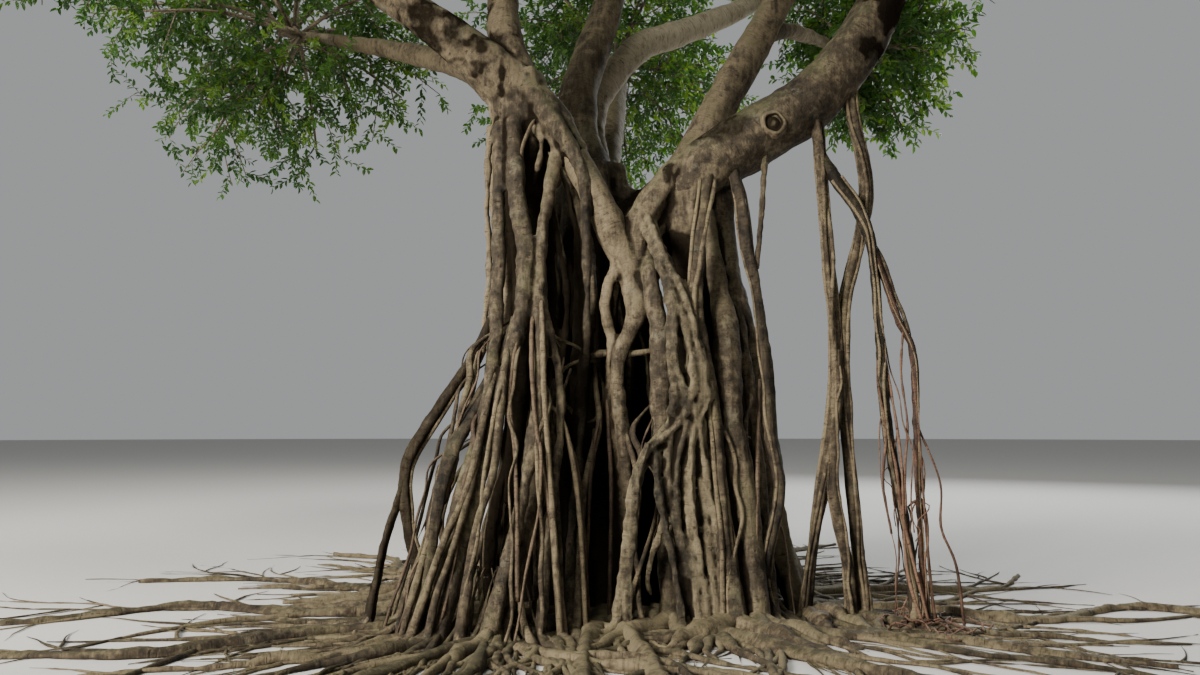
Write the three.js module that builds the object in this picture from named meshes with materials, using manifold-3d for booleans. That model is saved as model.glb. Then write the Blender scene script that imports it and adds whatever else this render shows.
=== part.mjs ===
// A banyan tree that grows from one root mass: a fluted trunk behind two columns of grown-together
// aerial roots, boughs that leave it at several heights, free aerial roots under the boughs, roots that
// run out over the ground, and a wide domed crown in separate masses of foliage.
// Millimetres, +Z up. The origin is on the flat cut under the trunk, at ground level. -Y is the tree's front.
import * as THREE from "three";
import { mergeVertices } from "three/addons/utils/BufferGeometryUtils.js";
import Module from "manifold-3d";

const wasm = await Module();
wasm.setup();

// Driving sizes.
const CROWN_REACH = 8700; // from the trunk's axis to the outermost sprays
const CROWN_TOP = 13000;
const NECK_HEIGHT = 4600; // where the left column ends and its boughs begin
const TRUNK_TOP = 4000;
const GAP = 0.4; // clearance between neighbouring solids
const BOUGH_TIP = 75; // radius of a bough where it enters its mass of foliage
const SPRAY_LENGTH = 1400; // one blade stands for a whole spray of leaves
const SPRAY_WIDTH = 760;
const TWIGS_PER_MASS = 7;
const SURFACE_ROOTS = 14;
const SURFACE_ROOT_REACH = 6400;

// Facets: strands and twigs are many, so each has few sides.
const STRAND_SIDES = 5;
const BOUGH_SIDES = 6;
const TRUNK_SIDES = 10;
const TWIG_SIDES = 3;

const BARK = new THREE.MeshStandardMaterial({ color: 0x77624a, roughness: 0.85, metalness: 0 });
const PALE_BARK = new THREE.MeshStandardMaterial({ color: 0x9a8a72, roughness: 0.85, metalness: 0 });
const ROOT_BARK = new THREE.MeshStandardMaterial({ color: 0x6d5540, roughness: 0.9, metalness: 0 });
const FOLIAGE = new THREE.MeshStandardMaterial({ color: 0x3f6b2a, roughness: 0.5, metalness: 0 });

const tree = new THREE.Group();

// A repeatable number from 0 to 1 for each key.
function seeded(key) {
  const x = Math.sin(key * 127.1 + 311.7) * 43758.5453;
  return x - Math.floor(x);
}

// The same, from -1 to 1.
const swing = (key) => 2 * seeded(key) - 1;

function solidFrom(positions, triangles) {
  return new wasm.Manifold(
    new wasm.Mesh({
      numProp: 3,
      vertProperties: new Float32Array(positions),
      triVerts: new Uint32Array(triangles),
    }),
  );
}

function solidFromGeometry(geometry) {
  geometry.deleteAttribute("normal");
  geometry.deleteAttribute("uv");
  const merged = mergeVertices(geometry);
  return solidFrom(merged.attributes.position.array, merged.index.array);
}

const union = (solids) => solids.reduce((all, next) => all.add(next));

// Everything below the ground is cut off with this block.
const GROUND_DEPTH = 1000;
const ground = solidFromGeometry(
  new THREE.BoxGeometry(4 * CROWN_REACH, 4 * CROWN_REACH, GROUND_DEPTH).translate(0, 0, -GROUND_DEPTH / 2),
);

// A limb is a smooth curve through its points, with a radius at each of them. flute draws the section in
// and out a number of times round the limb, as on a buttressed trunk.
function limb(through, radii, sides, steps, flute = null) {
  const points = through.map((p) => new THREE.Vector3(...p));
  const curve = new THREE.CatmullRomCurve3(points, false, "catmullrom", 0.5);
  return { curve, radii, sides, steps, flute };
}

function radiusAlong(route, u) {
  const at = route.curve.getUtoTmapping(u, 0) * (route.radii.length - 1);
  const k = Math.min(Math.floor(at), route.radii.length - 2);
  return THREE.MathUtils.lerp(route.radii[k], route.radii[k + 1], at - k);
}

// Rings of corners carried along the limb's curve and closed at both ends. extra makes it that much thicker.
function limbSolid(route, extra = 0) {
  const { curve, sides, steps, flute } = route;
  const frames = curve.computeFrenetFrames(steps, false);
  const positions = [];
  const triangles = [];
  const corner = (ring, side) => ring * sides + (side % sides);
  for (let ring = 0; ring <= steps; ring++) {
    const beyond = ring === 0 ? -extra : ring === steps ? extra : 0;
    const centre = curve.getPointAt(ring / steps).addScaledVector(frames.tangents[ring], beyond);
    const radius = radiusAlong(route, ring / steps);
    for (let side = 0; side < sides; side++) {
      const angle = (2 * Math.PI * side) / sides;
      const share = flute ? 1 + flute.depth * Math.cos(flute.count * angle) : 1;
      const spoke = frames.normals[ring]
        .clone()
        .multiplyScalar(Math.cos(angle))
        .addScaledVector(frames.binormals[ring], Math.sin(angle));
      positions.push(...centre.clone().addScaledVector(spoke, radius * share + extra).toArray());
    }
  }
  for (let ring = 0; ring < steps; ring++)
    for (let side = 0; side < sides; side++) {
      const [a, b] = [corner(ring, side), corner(ring, side + 1)];
      const [c, d] = [corner(ring + 1, side), corner(ring + 1, side + 1)];
      triangles.push(a, b, d, a, d, c);
    }
  for (let side = 1; side < sides - 1; side++) {
    triangles.push(corner(0, 0), corner(0, side + 1), corner(0, side));
    triangles.push(corner(steps, 0), corner(steps, side), corner(steps, side + 1));
  }
  return solidFrom(positions, triangles);
}

// Each solid is cut clear of those placed before it, so two that meet keep the gap between them.
const placed = [];

function boxesMeet(a, b) {
  const [p, q] = [a.boundingBox(), b.boundingBox()];
  return [0, 1, 2].every((k) => p.min[k] < q.max[k] && q.min[k] < p.max[k]);
}

const largest = (solid) =>
  solid.decompose().reduce((best, piece) => (piece.volume() > best.volume() ? piece : best));

function addMesh(name, solid, material) {
  const mesh = solid.getMesh();
  const geometry = new THREE.BufferGeometry()
    .setAttribute("position", new THREE.BufferAttribute(mesh.vertProperties, 3))
    .setIndex(new THREE.BufferAttribute(mesh.triVerts, 1));
  geometry.computeVertexNormals();
  const piece = new THREE.Mesh(geometry, material);
  piece.name = name;
  tree.add(piece);
}

function placeWood(name, routes, material) {
  const keepOut = union(routes.map((route) => limbSolid(route, GAP)));
  let solid = union(routes.map((route) => limbSolid(route))).subtract(ground);
  for (const other of placed)
    if (boxesMeet(solid, other.keepOut)) solid = solid.subtract(other.keepOut);
  addMesh(name, largest(solid), material);
  placed.push({ name, keepOut, routes });
}

// A curtain of roots round a set of rings, from the collar down to the ground. A ring is its middle, x, y
// and z, and its reach to the side and to the front. Each root keeps its own bearing, drifts round by up
// to drift, sways from ring to ring, and swells where it leaves the collar and where it enters the ground.
const BEARING_SWAY = 0.1;
const REACH_SWAY = 0.12;

function curtain(rings, { count, thickness, drift, key, from = 0, sweep = 2 * Math.PI }) {
  const strands = [];
  for (let i = 0; i < count; i++) {
    const bearing = from + (sweep * (i + 0.3 * swing(key + i))) / count;
    const turn = drift * swing(key + 40 + i);
    const thick = thickness * (0.78 + 0.5 * seeded(key + 80 + i));
    const through = rings.map(([x, y, z, rx, ry], level) => {
      const sway = BEARING_SWAY * swing(key + 7 * i + 13 * level);
      const angle = bearing + (turn * level) / (rings.length - 1) + sway;
      const out = 1 + REACH_SWAY * swing(key + 11 * i + 17 * level);
      return [x + rx * out * Math.cos(angle), y + ry * out * Math.sin(angle), z];
    });
    const radii = rings.map((ring, level) => {
      const end = Math.abs((2 * level) / (rings.length - 1) - 1);
      return thick * (0.85 + 0.4 * end ** 3);
    });
    strands.push(limb(through, radii, STRAND_SIDES, rings.length - 1));
  }
  return strands;
}

// The roots that show in front, each with its place across the rings, from -1 at their left edge to 1 at
// their right edge. One that starts below the first ring leaves the point it grew from.
function frontRoots(rings, roots) {
  return Object.values(roots).map(({ grownFrom, radii, across }) => {
    const first = rings.length - across.length;
    const through = across.map((share, k) => {
      const [x, y, z, rx, ry] = rings[first + k];
      return [x + rx * share, y - ry * Math.sqrt(1 - share ** 2), z];
    });
    if (grownFrom) through.unshift(grownFrom);
    return limb(through, radii, STRAND_SIDES, through.length - 1);
  });
}

const BACK_HALF = { from: -0.45, sweep: 4.04 }; // from the right edge round the back to the left edge

const BELOW_GROUND = -120; // limbs that enter the ground are drawn down to here before the flat cut

// The trunk: a fluted core that leans back to its fork, with its own roots grown down all round it.
const trunkCore = limb(
  [[0, 300, BELOW_GROUND], [0, 330, 350], [-20, 400, 1400], [-50, 500, 2800], [-80, 640, TRUNK_TOP]],
  [900, 690, 520, 450, 330],
  TRUNK_SIDES,
  8,
  { count: 5, depth: 0.08 },
);
const trunkRings = [
  [-60, 580, 3750, 300, 260],
  [-40, 520, 2900, 500, 480],
  [-20, 450, 1900, 640, 640],
  [0, 400, 900, 860, 900],
  [0, 420, BELOW_GROUND, 1250, 1350],
];
placeWood(
  "trunk",
  [trunkCore, ...curtain(trunkRings, { count: 7, thickness: 135, drift: 0.35, key: 11, ...BACK_HALF })],
  BARK,
);

// The left column: a neck that splits into roots, close together above and spreading to the ground. The
// root furthest right forks from the neck in front of the cross limb.
const leftNeck = limb(
  [[-600, -300, 3150], [-620, -230, 3700], [-680, -190, 4200], [-740, -170, NECK_HEIGHT]],
  [150, 240, 285, 270],
  BOUGH_SIDES,
  4,
);
const leftRings = [
  [-680, -190, 4150, 300, 150],
  [-570, -240, 3500, 420, 270],
  [-520, -330, 2700, 430, 370],
  [-620, -520, 1800, 500, 460],
  [-780, -740, 800, 570, 580],
  [-860, -900, BELOW_GROUND, 700, 760],
];
const leftFront = {
  edge: { radii: [50, 40, 40, 42, 44, 56], across: [-0.98, -0.98, -0.98, -0.8, -0.78, -0.72] },
  crooked: { radii: [75, 62, 64, 60, 50, 64], across: [-0.62, -0.68, -0.75, -0.5, -0.54, -0.54] },
  thick: { radii: [75, 68, 70, 64, 60, 74], across: [-0.2, -0.28, -0.2, -0.26, -0.34, -0.42] },
  middle: { radii: [70, 62, 60, 58, 60, 76], across: [0.72, 0.3, 0.06, 0.3, 0.3, 0.05] },
  slim: { grownFrom: [-480, -700, 2600], radii: [44, 40, 42, 50], across: [0.62, 0.72, 0.6] },
};
const leftFork = limb(
  [
    [-600, -300, 4330], [-470, -420, 4220], [-340, -500, 4020], [-170, -560, 3690], [-120, -570, 3370],
    [-110, -550, 2950], [-120, -520, 2450], [-135, -630, 1800], [-240, -930, 800],
    [-230, -1230, BELOW_GROUND],
  ],
  [90, 98, 88, 62, 50, 46, 44, 44, 48, 60],
  STRAND_SIDES,
  8,
);
placeWood(
  "left_root_column",
  [
    leftNeck,
    leftFork,
    ...curtain(leftRings, { count: 5, thickness: 88, drift: 0.45, key: 211, ...BACK_HALF }),
    ...frontRoots(leftRings, leftFront),
  ],
  BARK,
);

// The right column: a leaning stem that enters the big bough's foot, an arm that leaves the bough further
// left and goes down to the ground, and a curtain of roots round both.
const rightStem = limb(
  [
    [900, -200, BELOW_GROUND], [900, -220, 900], [800, -280, 1900], [740, -340, 2600], [770, -370, 3050],
    [830, -400, 3450],
  ],
  [400, 320, 280, 225, 185, 140],
  BOUGH_SIDES,
  5,
);
const rightArm = limb(
  [
    [620, -410, 3660], [400, -440, 3330], [310, -460, 3090], [290, -470, 2880], [300, -470, 2670],
    [310, -500, 2470], [220, -520, 2270], [150, -540, 2030], [150, -560, 1740], [200, -560, 1340],
    [240, -560, 460], [250, -570, BELOW_GROUND],
  ],
  [105, 100, 110, 122, 122, 110, 75, 64, 58, 54, 54, 66],
  STRAND_SIDES,
  9,
);
const rightRings = [
  [840, -425, 3500, 160, 110],
  [760, -380, 3100, 330, 200],
  [610, -350, 2700, 540, 320],
  [690, -320, 2200, 610, 440],
  [760, -290, 1500, 630, 540],
  [840, -270, 800, 650, 640],
  [920, -280, BELOW_GROUND, 750, 790],
];
const rightFront = {
  far_left: {
    grownFrom: [330, -450, 2900],
    radii: [80, 62, 58, 60, 60, 76],
    across: [-0.94, -0.98, -0.98, -0.97, -0.95],
  },
  mossy: {
    grownFrom: [400, -450, 3000],
    radii: [90, 80, 84, 84, 80, 96],
    across: [-0.35, -0.34, -0.44, -0.5, -0.5],
  },
  heavy: { grownFrom: [690, -380, 2750], radii: [120, 110, 115, 115, 140], across: [0.14, 0.1, 0.13, 0.11] },
  pillar: {
    radii: [60, 62, 84, 122, 128, 110, 125],
    across: [0.1, 0.5, 0.66, 0.54, 0.42, 0.46, 0.36],
  },
  slim: {
    radii: [50, 44, 48, 50, 52, 52, 64],
    across: [0.7, 0.85, 0.9, 0.8, 0.78, 0.7, 0.55],
  },
  right_edge: {
    grownFrom: [1040, -430, 2700],
    radii: [48, 46, 50, 58, 110],
    across: [0.97, 0.97, 0.98, 0.93],
  },
};
placeWood(
  "right_root_column",
  [
    rightStem,
    rightArm,
    ...curtain(rightRings, { count: 4, thickness: 125, drift: 0.4, key: 421, ...BACK_HALF }),
    ...frontRoots(rightRings, rightFront),
  ],
  BARK,
);

// The boughs. Each one starts inside what carries it, is cut clear of it, and ends where its foliage begins.
const boughs = {
  cross_limb: {
    through: [
      [-640, -250, 4680], [-350, -350, 4120], [-60, -450, 3590], [120, -470, 3160], [130, -450, 2760],
    ],
    radii: [175, 128, 118, 140, 125],
  },
  right_bough: {
    through: [
      [780, -415, 3270], [790, -430, 3520], [970, -460, 3750], [1230, -500, 3920], [1770, -540, 4270],
      [2190, -540, 4770], [2480, -500, 5300], [2850, -440, 6100], [3500, -360, 6800], [4300, -280, 7250],
    ],
    radii: [160, 240, 256, 256, 242, 215, 190, 155, 115, BOUGH_TIP],
  },
  left_stem: {
    through: [
      [-730, -170, 4450], [-850, -100, 5000], [-900, -50, 5500], [-1000, -120, 6300], [-1350, -300, 7500],
      [-1850, -550, 8700],
    ],
    radii: [230, 155, 135, 125, 105, BOUGH_TIP],
  },
  left_bough: {
    through: [
      [-700, -190, 4430], [-1120, -290, 4790], [-1450, -350, 5030], [-2000, -420, 5400], [-3000, -480, 6050],
      [-3800, -440, 6500], [-4600, -380, 6850],
    ],
    radii: [230, 190, 170, 160, 135, 105, BOUGH_TIP],
  },
  second_right_bough: {
    through: [
      [80, 500, 3100], [480, 450, 3500], [860, 480, 4020], [1260, 550, 4820], [1620, 600, 5450],
      [1880, 540, 6000], [2250, 150, 7300], [2600, -350, 8800],
    ],
    radii: [240, 220, 195, 170, 150, 135, 110, BOUGH_TIP],
  },
  dark_bough: {
    through: [
      [-60, 620, 3600], [-200, 720, 4250], [-200, 820, 4850], [-50, 920, 5400], [100, 1060, 6000],
      [130, 1500, 7300], [40, 2050, 8700],
    ],
    radii: [300, 215, 190, 170, 150, 115, BOUGH_TIP],
  },
  pale_bough: {
    through: [
      [0, 800, 3700], [-110, 1150, 4450], [-60, 1260, 4900], [150, 1350, 5260], [440, 1480, 5610],
      [910, 1780, 5890], [1540, 2180, 6300], [2200, 2700, 6850], [2800, 3300, 7400],
    ],
    radii: [190, 165, 155, 150, 145, 138, 122, 100, BOUGH_TIP],
  },
  rear_bough: {
    through: [[0, 800, 3400], [60, 1500, 4300], [150, 2300, 5200], [220, 3300, 5950], [220, 4400, 6500]],
    radii: [220, 170, 145, 115, BOUGH_TIP],
  },
  left_rear_bough: {
    through: [
      [-120, 640, 3500], [-650, 1100, 4600], [-1450, 1800, 5450], [-2500, 2650, 6050], [-3350, 3300, 6450],
    ],
    radii: [200, 160, 140, 110, BOUGH_TIP],
  },
  front_left_bough: {
    through: [[-2300, -440, 5600], [-2750, -1300, 6250], [-3200, -2400, 6800], [-3550, -3200, 7100]],
    radii: [120, 105, 90, BOUGH_TIP],
  },
  front_bough: {
    through: [[-940, -90, 5950], [-850, -1100, 6600], [-600, -2500, 7200], [-350, -3900, 7600]],
    radii: [115, 105, 90, BOUGH_TIP],
  },
  front_right_bough: {
    through: [[2750, -460, 5850], [3050, -1500, 6500], [3350, -2600, 7050], [3600, -3350, 7350]],
    radii: [125, 105, 90, BOUGH_TIP],
  },
  top_bough: {
    through: [[120, 1350, 6850], [280, 950, 7900], [260, 550, 9100], [150, 250, 10200]],
    radii: [110, 95, 85, BOUGH_TIP],
  },
  top_front_bough: {
    through: [[-700, -2100, 7050], [-420, -2500, 8000], [-100, -2850, 9000]],
    radii: [90, 82, BOUGH_TIP],
  },
  low_right_bough: {
    through: [[1560, 600, 5350], [1980, 1080, 5600], [2480, 1750, 5760]],
    radii: [95, 78, 60],
  },
};
for (const [name, { through, radii }] of Object.entries(boughs))
  placeWood(
    name,
    [limb(through, radii, BOUGH_SIDES, through.length - 1)],
    name === "pale_bough" || name === "low_right_bough" ? PALE_BARK : BARK,
  );

// Roots that run out over the ground, half sunk in it: each keeps to its own sector and winds a little.
const ROOT_START = 320; // inside the foot of the trunk
const ROOT_THICK = 95;
const ROOT_THIN = 24;
const ROOT_BENDS = 5;
const FOOT = [60, -260]; // the middle of the root mass at the ground

for (let i = 0; i < SURFACE_ROOTS; i++) {
  const bearing = (2 * Math.PI * (i + 0.25 * swing(600 + i))) / SURFACE_ROOTS;
  const reach = SURFACE_ROOT_REACH * (0.62 + 0.38 * seeded(640 + i));
  const through = [];
  const radii = [];
  for (let k = 0; k <= ROOT_BENDS; k++) {
    const share = k / ROOT_BENDS;
    const angle = bearing + 0.1 * swing(680 + 9 * i + k) * Math.min(1, 2 * share);
    const distance = ROOT_START + (reach - ROOT_START) * share;
    const uneven = 0.9 + 0.25 * seeded(760 + 9 * i + k);
    const radius = uneven * THREE.MathUtils.lerp(ROOT_THICK, ROOT_THIN, share ** 0.7);
    through.push([FOOT[0] + distance * Math.cos(angle), FOOT[1] + distance * Math.sin(angle), 0.2 * radius]);
    radii.push(radius);
  }
  placeWood(`surface_root_${i + 1}`, [limb(through, radii, STRAND_SIDES, ROOT_BENDS)], ROOT_BARK);
}

// Aerial roots that stand or hang free. Each starts inside the bough or root that it grew from.
const aerialRoots = {
  hanging_root_inner: {
    through: [
      [1850, -540, 4450], [1805, -600, 4130], [1830, -640, 3700], [1870, -640, 2970], [1910, -640, 2300],
      [1890, -630, 1650], [1800, -640, 1150], [1690, -640, 550], [1600, -620, BELOW_GROUND],
    ],
    radii: [62, 46, 42, 38, 44, 48, 44, 38, 44],
  },
  hanging_root_middle: {
    through: [
      [1930, -665, 2150], [1920, -680, 1740], [1870, -690, 1340], [1860, -700, 990], [1905, -700, 700],
      [1960, -700, 400], [1980, -700, BELOW_GROUND],
    ],
    radii: [30, 34, 36, 40, 40, 38, 46],
  },
  hanging_root_outer: {
    through: [
      [2110, -510, 4650], [2120, -560, 4180], [2190, -580, 3780], [2210, -600, 3440], [2140, -600, 3050],
      [2050, -600, 2700], [1995, -600, 2350], [2000, -600, 1500], [2030, -610, 1000], [2060, -620, 500],
      [2120, -620, BELOW_GROUND],
    ],
    radii: [62, 46, 44, 42, 44, 46, 46, 46, 44, 46, 64],
  },
  hanging_root_branch: {
    through: [
      [1835, -640, 3760], [1970, -700, 3500], [2090, -720, 3320], [2190, -730, 3060], [2215, -745, 2800],
      [2240, -755, 2300], [2255, -770, 1700], [2320, -780, 1160], [2390, -780, 800], [2425, -790, 370],
      [2450, -800, BELOW_GROUND],
    ],
    radii: [44, 50, 46, 40, 34, 36, 44, 42, 38, 36, 52],
  },
  hanging_root_far: {
    through: [
      [2200, -735, 3010], [2300, -760, 2690], [2400, -780, 2350], [2490, -800, 2130], [2495, -800, 1610],
      [2490, -820, 800], [2520, -840, BELOW_GROUND],
    ],
    radii: [32, 31, 30, 29, 28, 26, 36],
  },
  bough_root_front: {
    through: [
      [950, -500, 3700], [870, -700, 3460], [800, -790, 3020], [762, -850, 2500], [810, -900, 2130],
      [880, -930, 1740], [930, -980, 1000], [960, -1080, BELOW_GROUND],
    ],
    radii: [78, 54, 54, 52, 48, 46, 48, 64],
  },
  bough_root_side: {
    through: [
      [1110, -500, 3780], [1125, -690, 3520], [1165, -750, 3250], [1180, -780, 2980], [1240, -790, 2700],
      [1275, -790, 2380], [1330, -790, 1940], [1345, -800, 1500], [1410, -820, 1070], [1350, -850, 750],
      [1270, -870, 480], [1210, -880, BELOW_GROUND],
    ],
    radii: [60, 44, 48, 48, 42, 44, 50, 52, 48, 44, 46, 60],
  },
  bough_root_thin: {
    through: [[1410, -500, 3930], [1345, -720, 3580], [1310, -770, 3230], [1255, -795, 2790]],
    radii: [34, 24, 22, 22],
  },
  left_prop_root: {
    through: [
      [-860, -560, 2420], [-1060, -650, 2030], [-1320, -780, 1590], [-1480, -840, 1310], [-1520, -860, 1070],
      [-1480, -860, 720], [-1400, -860, 390], [-1340, -880, BELOW_GROUND],
    ],
    radii: [66, 54, 52, 48, 44, 42, 44, 56],
  },
  left_prop_fork: {
    through: [[-1520, -860, 1110], [-1640, -880, 720], [-1695, -900, 450], [-1790, -920, BELOW_GROUND]],
    radii: [36, 34, 32, 44],
  },
  front_prop_root_a: {
    through: [
      [-700, -700, 2330], [-820, -760, 1980], [-1040, -980, 1520], [-1150, -1100, 1240], [-1200, -1180, 970],
      [-1225, -1260, 680], [-1250, -1370, 330], [-1330, -1480, BELOW_GROUND],
    ],
    radii: [56, 60, 60, 56, 48, 42, 46, 74],
  },
  front_prop_root_b: {
    through: [
      [-330, -780, 1900], [-450, -860, 1450], [-520, -1000, 1040], [-590, -1160, 690], [-670, -1320, 390],
      [-770, -1500, BELOW_GROUND],
    ],
    radii: [46, 56, 66, 68, 72, 110],
  },
  knotted_root: {
    through: [
      [390, -500, 3270], [450, -730, 2990], [545, -830, 2730], [655, -900, 2470], [715, -950, 2120],
      [690, -975, 1780], [555, -1005, 1540], [355, -1045, 1310], [245, -1085, 1010], [205, -1125, 650],
      [110, -1190, BELOW_GROUND],
    ],
    radii: [75, 68, 72, 115, 140, 130, 82, 54, 44, 44, 60],
  },
};
for (const [name, { through, radii }] of Object.entries(aerialRoots))
  placeWood(name, [limb(through, radii, STRAND_SIDES, through.length - 1)], ROOT_BARK);

// The masses of foliage. Each keeps to an ellipsoid, and where two would meet, to its own side of the plane
// halfway between their middles.
const masses = {
  foliage_left: { bough: "left_bough", middle: [-5950, -300, 7400], radii: [2750, 2700, 2200] },
  foliage_left_rear: { bough: "left_rear_bough", middle: [-4600, 4300, 7000], radii: [2700, 2700, 2400] },
  foliage_rear: { bough: "rear_bough", middle: [200, 6000, 7200], radii: [2700, 2500, 2300] },
  foliage_right_rear: { bough: "pale_bough", middle: [3600, 4600, 8450], radii: [2550, 2600, 2050] },
  foliage_low_right: { bough: "low_right_bough", middle: [3350, 2750, 5950], radii: [1300, 1250, 1150] },
  foliage_right: { bough: "right_bough", middle: [5950, -250, 7900], radii: [2700, 2700, 2100] },
  foliage_front_right: { bough: "front_right_bough", middle: [4350, -4550, 8000], radii: [2700, 2700, 2050] },
  foliage_front: { bough: "front_bough", middle: [-150, -6000, 8150], radii: [2700, 2500, 2000] },
  foliage_front_left: { bough: "front_left_bough", middle: [-4450, -4450, 7700], radii: [2700, 2650, 2100] },
  foliage_top_left: { bough: "left_stem", middle: [-2750, -900, 10250], radii: [2650, 2600, 1950] },
  foliage_top_right: { bough: "second_right_bough", middle: [3050, -850, 10350], radii: [2650, 2600, 1950] },
  foliage_top_rear: { bough: "dark_bough", middle: [0, 3000, 10200], radii: [2650, 2600, 1950] },
  foliage_top_front: { bough: "top_front_bough", middle: [100, -3400, 10100], radii: [2500, 2350, 1900] },
  foliage_summit: { bough: "top_bough", middle: [100, 150, 11500], radii: [2350, 2300, CROWN_TOP - 11500] },
};

const HALF_PLANE_GAP = 6; // between two masses, on each side of the plane

function insideMass(name, point) {
  const { middle, radii } = masses[name];
  const offset = [0, 1, 2].map((k) => point.getComponent(k) - middle[k]);
  if (offset.reduce((sum, d, k) => sum + (d / radii[k]) ** 2, 0) > 1) return false;
  return Object.entries(masses).every(([other, { middle: away }]) => {
    if (other === name) return true;
    const between = away.map((c, k) => c - middle[k]);
    const span = Math.hypot(...between);
    const along = offset.reduce((sum, d, k) => sum + d * between[k], 0) / span;
    return along < span / 2 - HALF_PLANE_GAP;
  });
}

// Points down the middle of every limb, with its radius there, for keeping foliage clear of the wood.
const SAMPLE_SPACING = 90;
const woodSamples = placed.flatMap(({ routes }) =>
  routes.flatMap((route) => {
    const count = Math.ceil(route.curve.getLength() / SAMPLE_SPACING);
    return Array.from({ length: count + 1 }, (_, k) => ({
      point: route.curve.getPointAt(k / count),
      radius: radiusAlong(route, k / count),
    }));
  }),
);

const WOOD_CLEARANCE = 60;
const clearOfWood = (point) =>
  woodSamples.every(({ point: wood, radius }) => wood.distanceTo(point) > radius + WOOD_CLEARANCE);

const samplesBetween = (a, b, count) =>
  Array.from({ length: count }, (_, k) => a.clone().lerp(b, (k + 1) / count));

// A blade in its own outline: root, two shoulders and a tip, with a ridge above and below. It is eight faces.
function sprayCorners(root, along, across, length, width) {
  const up = new THREE.Vector3().crossVectors(along, across).normalize();
  const waist = root.clone().addScaledVector(along, 0.52 * length);
  const thick = length / 45;
  return [
    root,
    waist.clone().addScaledVector(across, width / 2),
    root.clone().addScaledVector(along, length).addScaledVector(up, -0.08 * length),
    waist.clone().addScaledVector(across, -width / 2),
    waist.clone().addScaledVector(up, thick),
    waist.clone().addScaledVector(up, -thick),
  ];
}

function spraySolid(corners) {
  const triangles = [0, 3, 4, 3, 2, 4, 2, 1, 4, 1, 0, 4, 0, 1, 5, 1, 2, 5, 2, 3, 5, 3, 0, 5];
  return solidFrom(corners.flatMap((c) => c.toArray()), triangles);
}

// An even spread of bearings over a sphere, each a golden angle on from the last.
function bearingOnSphere(i, count, key) {
  const height = 1 - (2 * (i + 0.5)) / count;
  const angle = i * Math.PI * (3 - Math.sqrt(5)) + 2 * Math.PI * seeded(key);
  const level = Math.sqrt(1 - height ** 2);
  return new THREE.Vector3(level * Math.cos(angle), level * Math.sin(angle), height);
}

const STEM_TIP = 34;
const TWIG_ROOT = 30;
const TWIG_TIP = 14;

// One mass: a stem goes on from the bough's tip to the heart, twigs leave it towards every side of the
// mass, and each twig carries blades to its left and right and one at its tip.
function massSolid(name, key) {
  const { bough, middle, radii } = masses[name];
  const parent = placed.find((wood) => wood.name === bough).routes[0];
  const heading = parent.curve.getTangentAt(1);
  const foot = parent.curve.getPointAt(1).addScaledVector(heading, 2 * GAP);
  const heart = new THREE.Vector3(...middle).lerp(foot, 0.15);
  const reach = foot.distanceTo(heart);
  const bend = foot.clone().addScaledVector(heading, 0.4 * reach);
  const startRadius = parent.radii.at(-1);
  const stemRadii = [startRadius, 0.75 * startRadius, STEM_TIP];
  const stem = limb([foot, bend, heart].map((p) => p.toArray()), stemRadii, STRAND_SIDES, 3);
  const parts = [limbSolid(stem)];
  const smaller = Math.min(1, radii[0] / 2600);
  for (let i = 0; i < TWIGS_PER_MASS; i++) {
    const bearing = bearingOnSphere(i, TWIGS_PER_MASS, key);
    const leaves = stem.curve.getPointAt(0.45 + 0.5 * seeded(key + 20 + i));
    let share = 0.66;
    let end = null;
    do {
      end = new THREE.Vector3(...middle.map((c, k) => c + share * radii[k] * bearing.getComponent(k)));
      share -= 0.06;
    } while (share > 0.2 && !insideMass(name, end));
    const knee = leaves.clone().lerp(end, 0.55).add(new THREE.Vector3(0, 0, 0.07 * leaves.distanceTo(end)));
    const twigRadii = [TWIG_ROOT, 0.8 * TWIG_ROOT, TWIG_TIP];
    const twig = limb([leaves, knee, end].map((p) => p.toArray()), twigRadii, TWIG_SIDES, 2);
    const wayOut = samplesBetween(leaves, end, 12).slice(2);
    if (!wayOut.every(clearOfWood)) continue;
    parts.push(limbSolid(twig));
    const sites = [0.4, 0.68, 0.97];
    sites.forEach((site, j) => {
      const last = j === sites.length - 1;
      const root = twig.curve.getPointAt(site);
      const twigHeading = twig.curve.getTangentAt(site);
      const flat = new THREE.Vector3(0, 0, 1).cross(twigHeading).normalize();
      const side = last ? 0.15 : j % 2 ? 0.9 : -0.9;
      const along = twigHeading.clone().multiplyScalar(last ? 1 : 0.55).addScaledVector(flat, side);
      along.z -= (last ? 0.25 : 0.5) * seeded(key + 90 + 5 * i + j);
      along.normalize();
      const across = new THREE.Vector3(0, 0, 1).cross(along).normalize();
      across.z += 1.1 * swing(key + 150 + 5 * i + j);
      across.addScaledVector(along, -across.dot(along)).normalize();
      for (const scale of [1, 0.88, 0.76, 0.64, 0.52]) {
        const size = scale * smaller * (0.85 + 0.3 * seeded(key + 200 + 5 * i + j));
        const corners = sprayCorners(root, along, across, size * SPRAY_LENGTH, size * SPRAY_WIDTH);
        const tips = corners.slice(1);
        const spine = samplesBetween(root, corners[2], 5).slice(1);
        if (!tips.every((p) => insideMass(name, p)) || ![...tips, ...spine].every(clearOfWood)) continue;
        parts.push(spraySolid(corners));
        break;
      }
    });
  }
  return union(parts);
}

Object.keys(masses).forEach((name, i) => {
  let solid = massSolid(name, 1000 + 300 * i);
  for (const other of placed)
    if (boxesMeet(solid, other.keepOut)) solid = solid.subtract(other.keepOut);
  addMesh(name, largest(solid), FOLIAGE);
});

export default tree;
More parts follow.
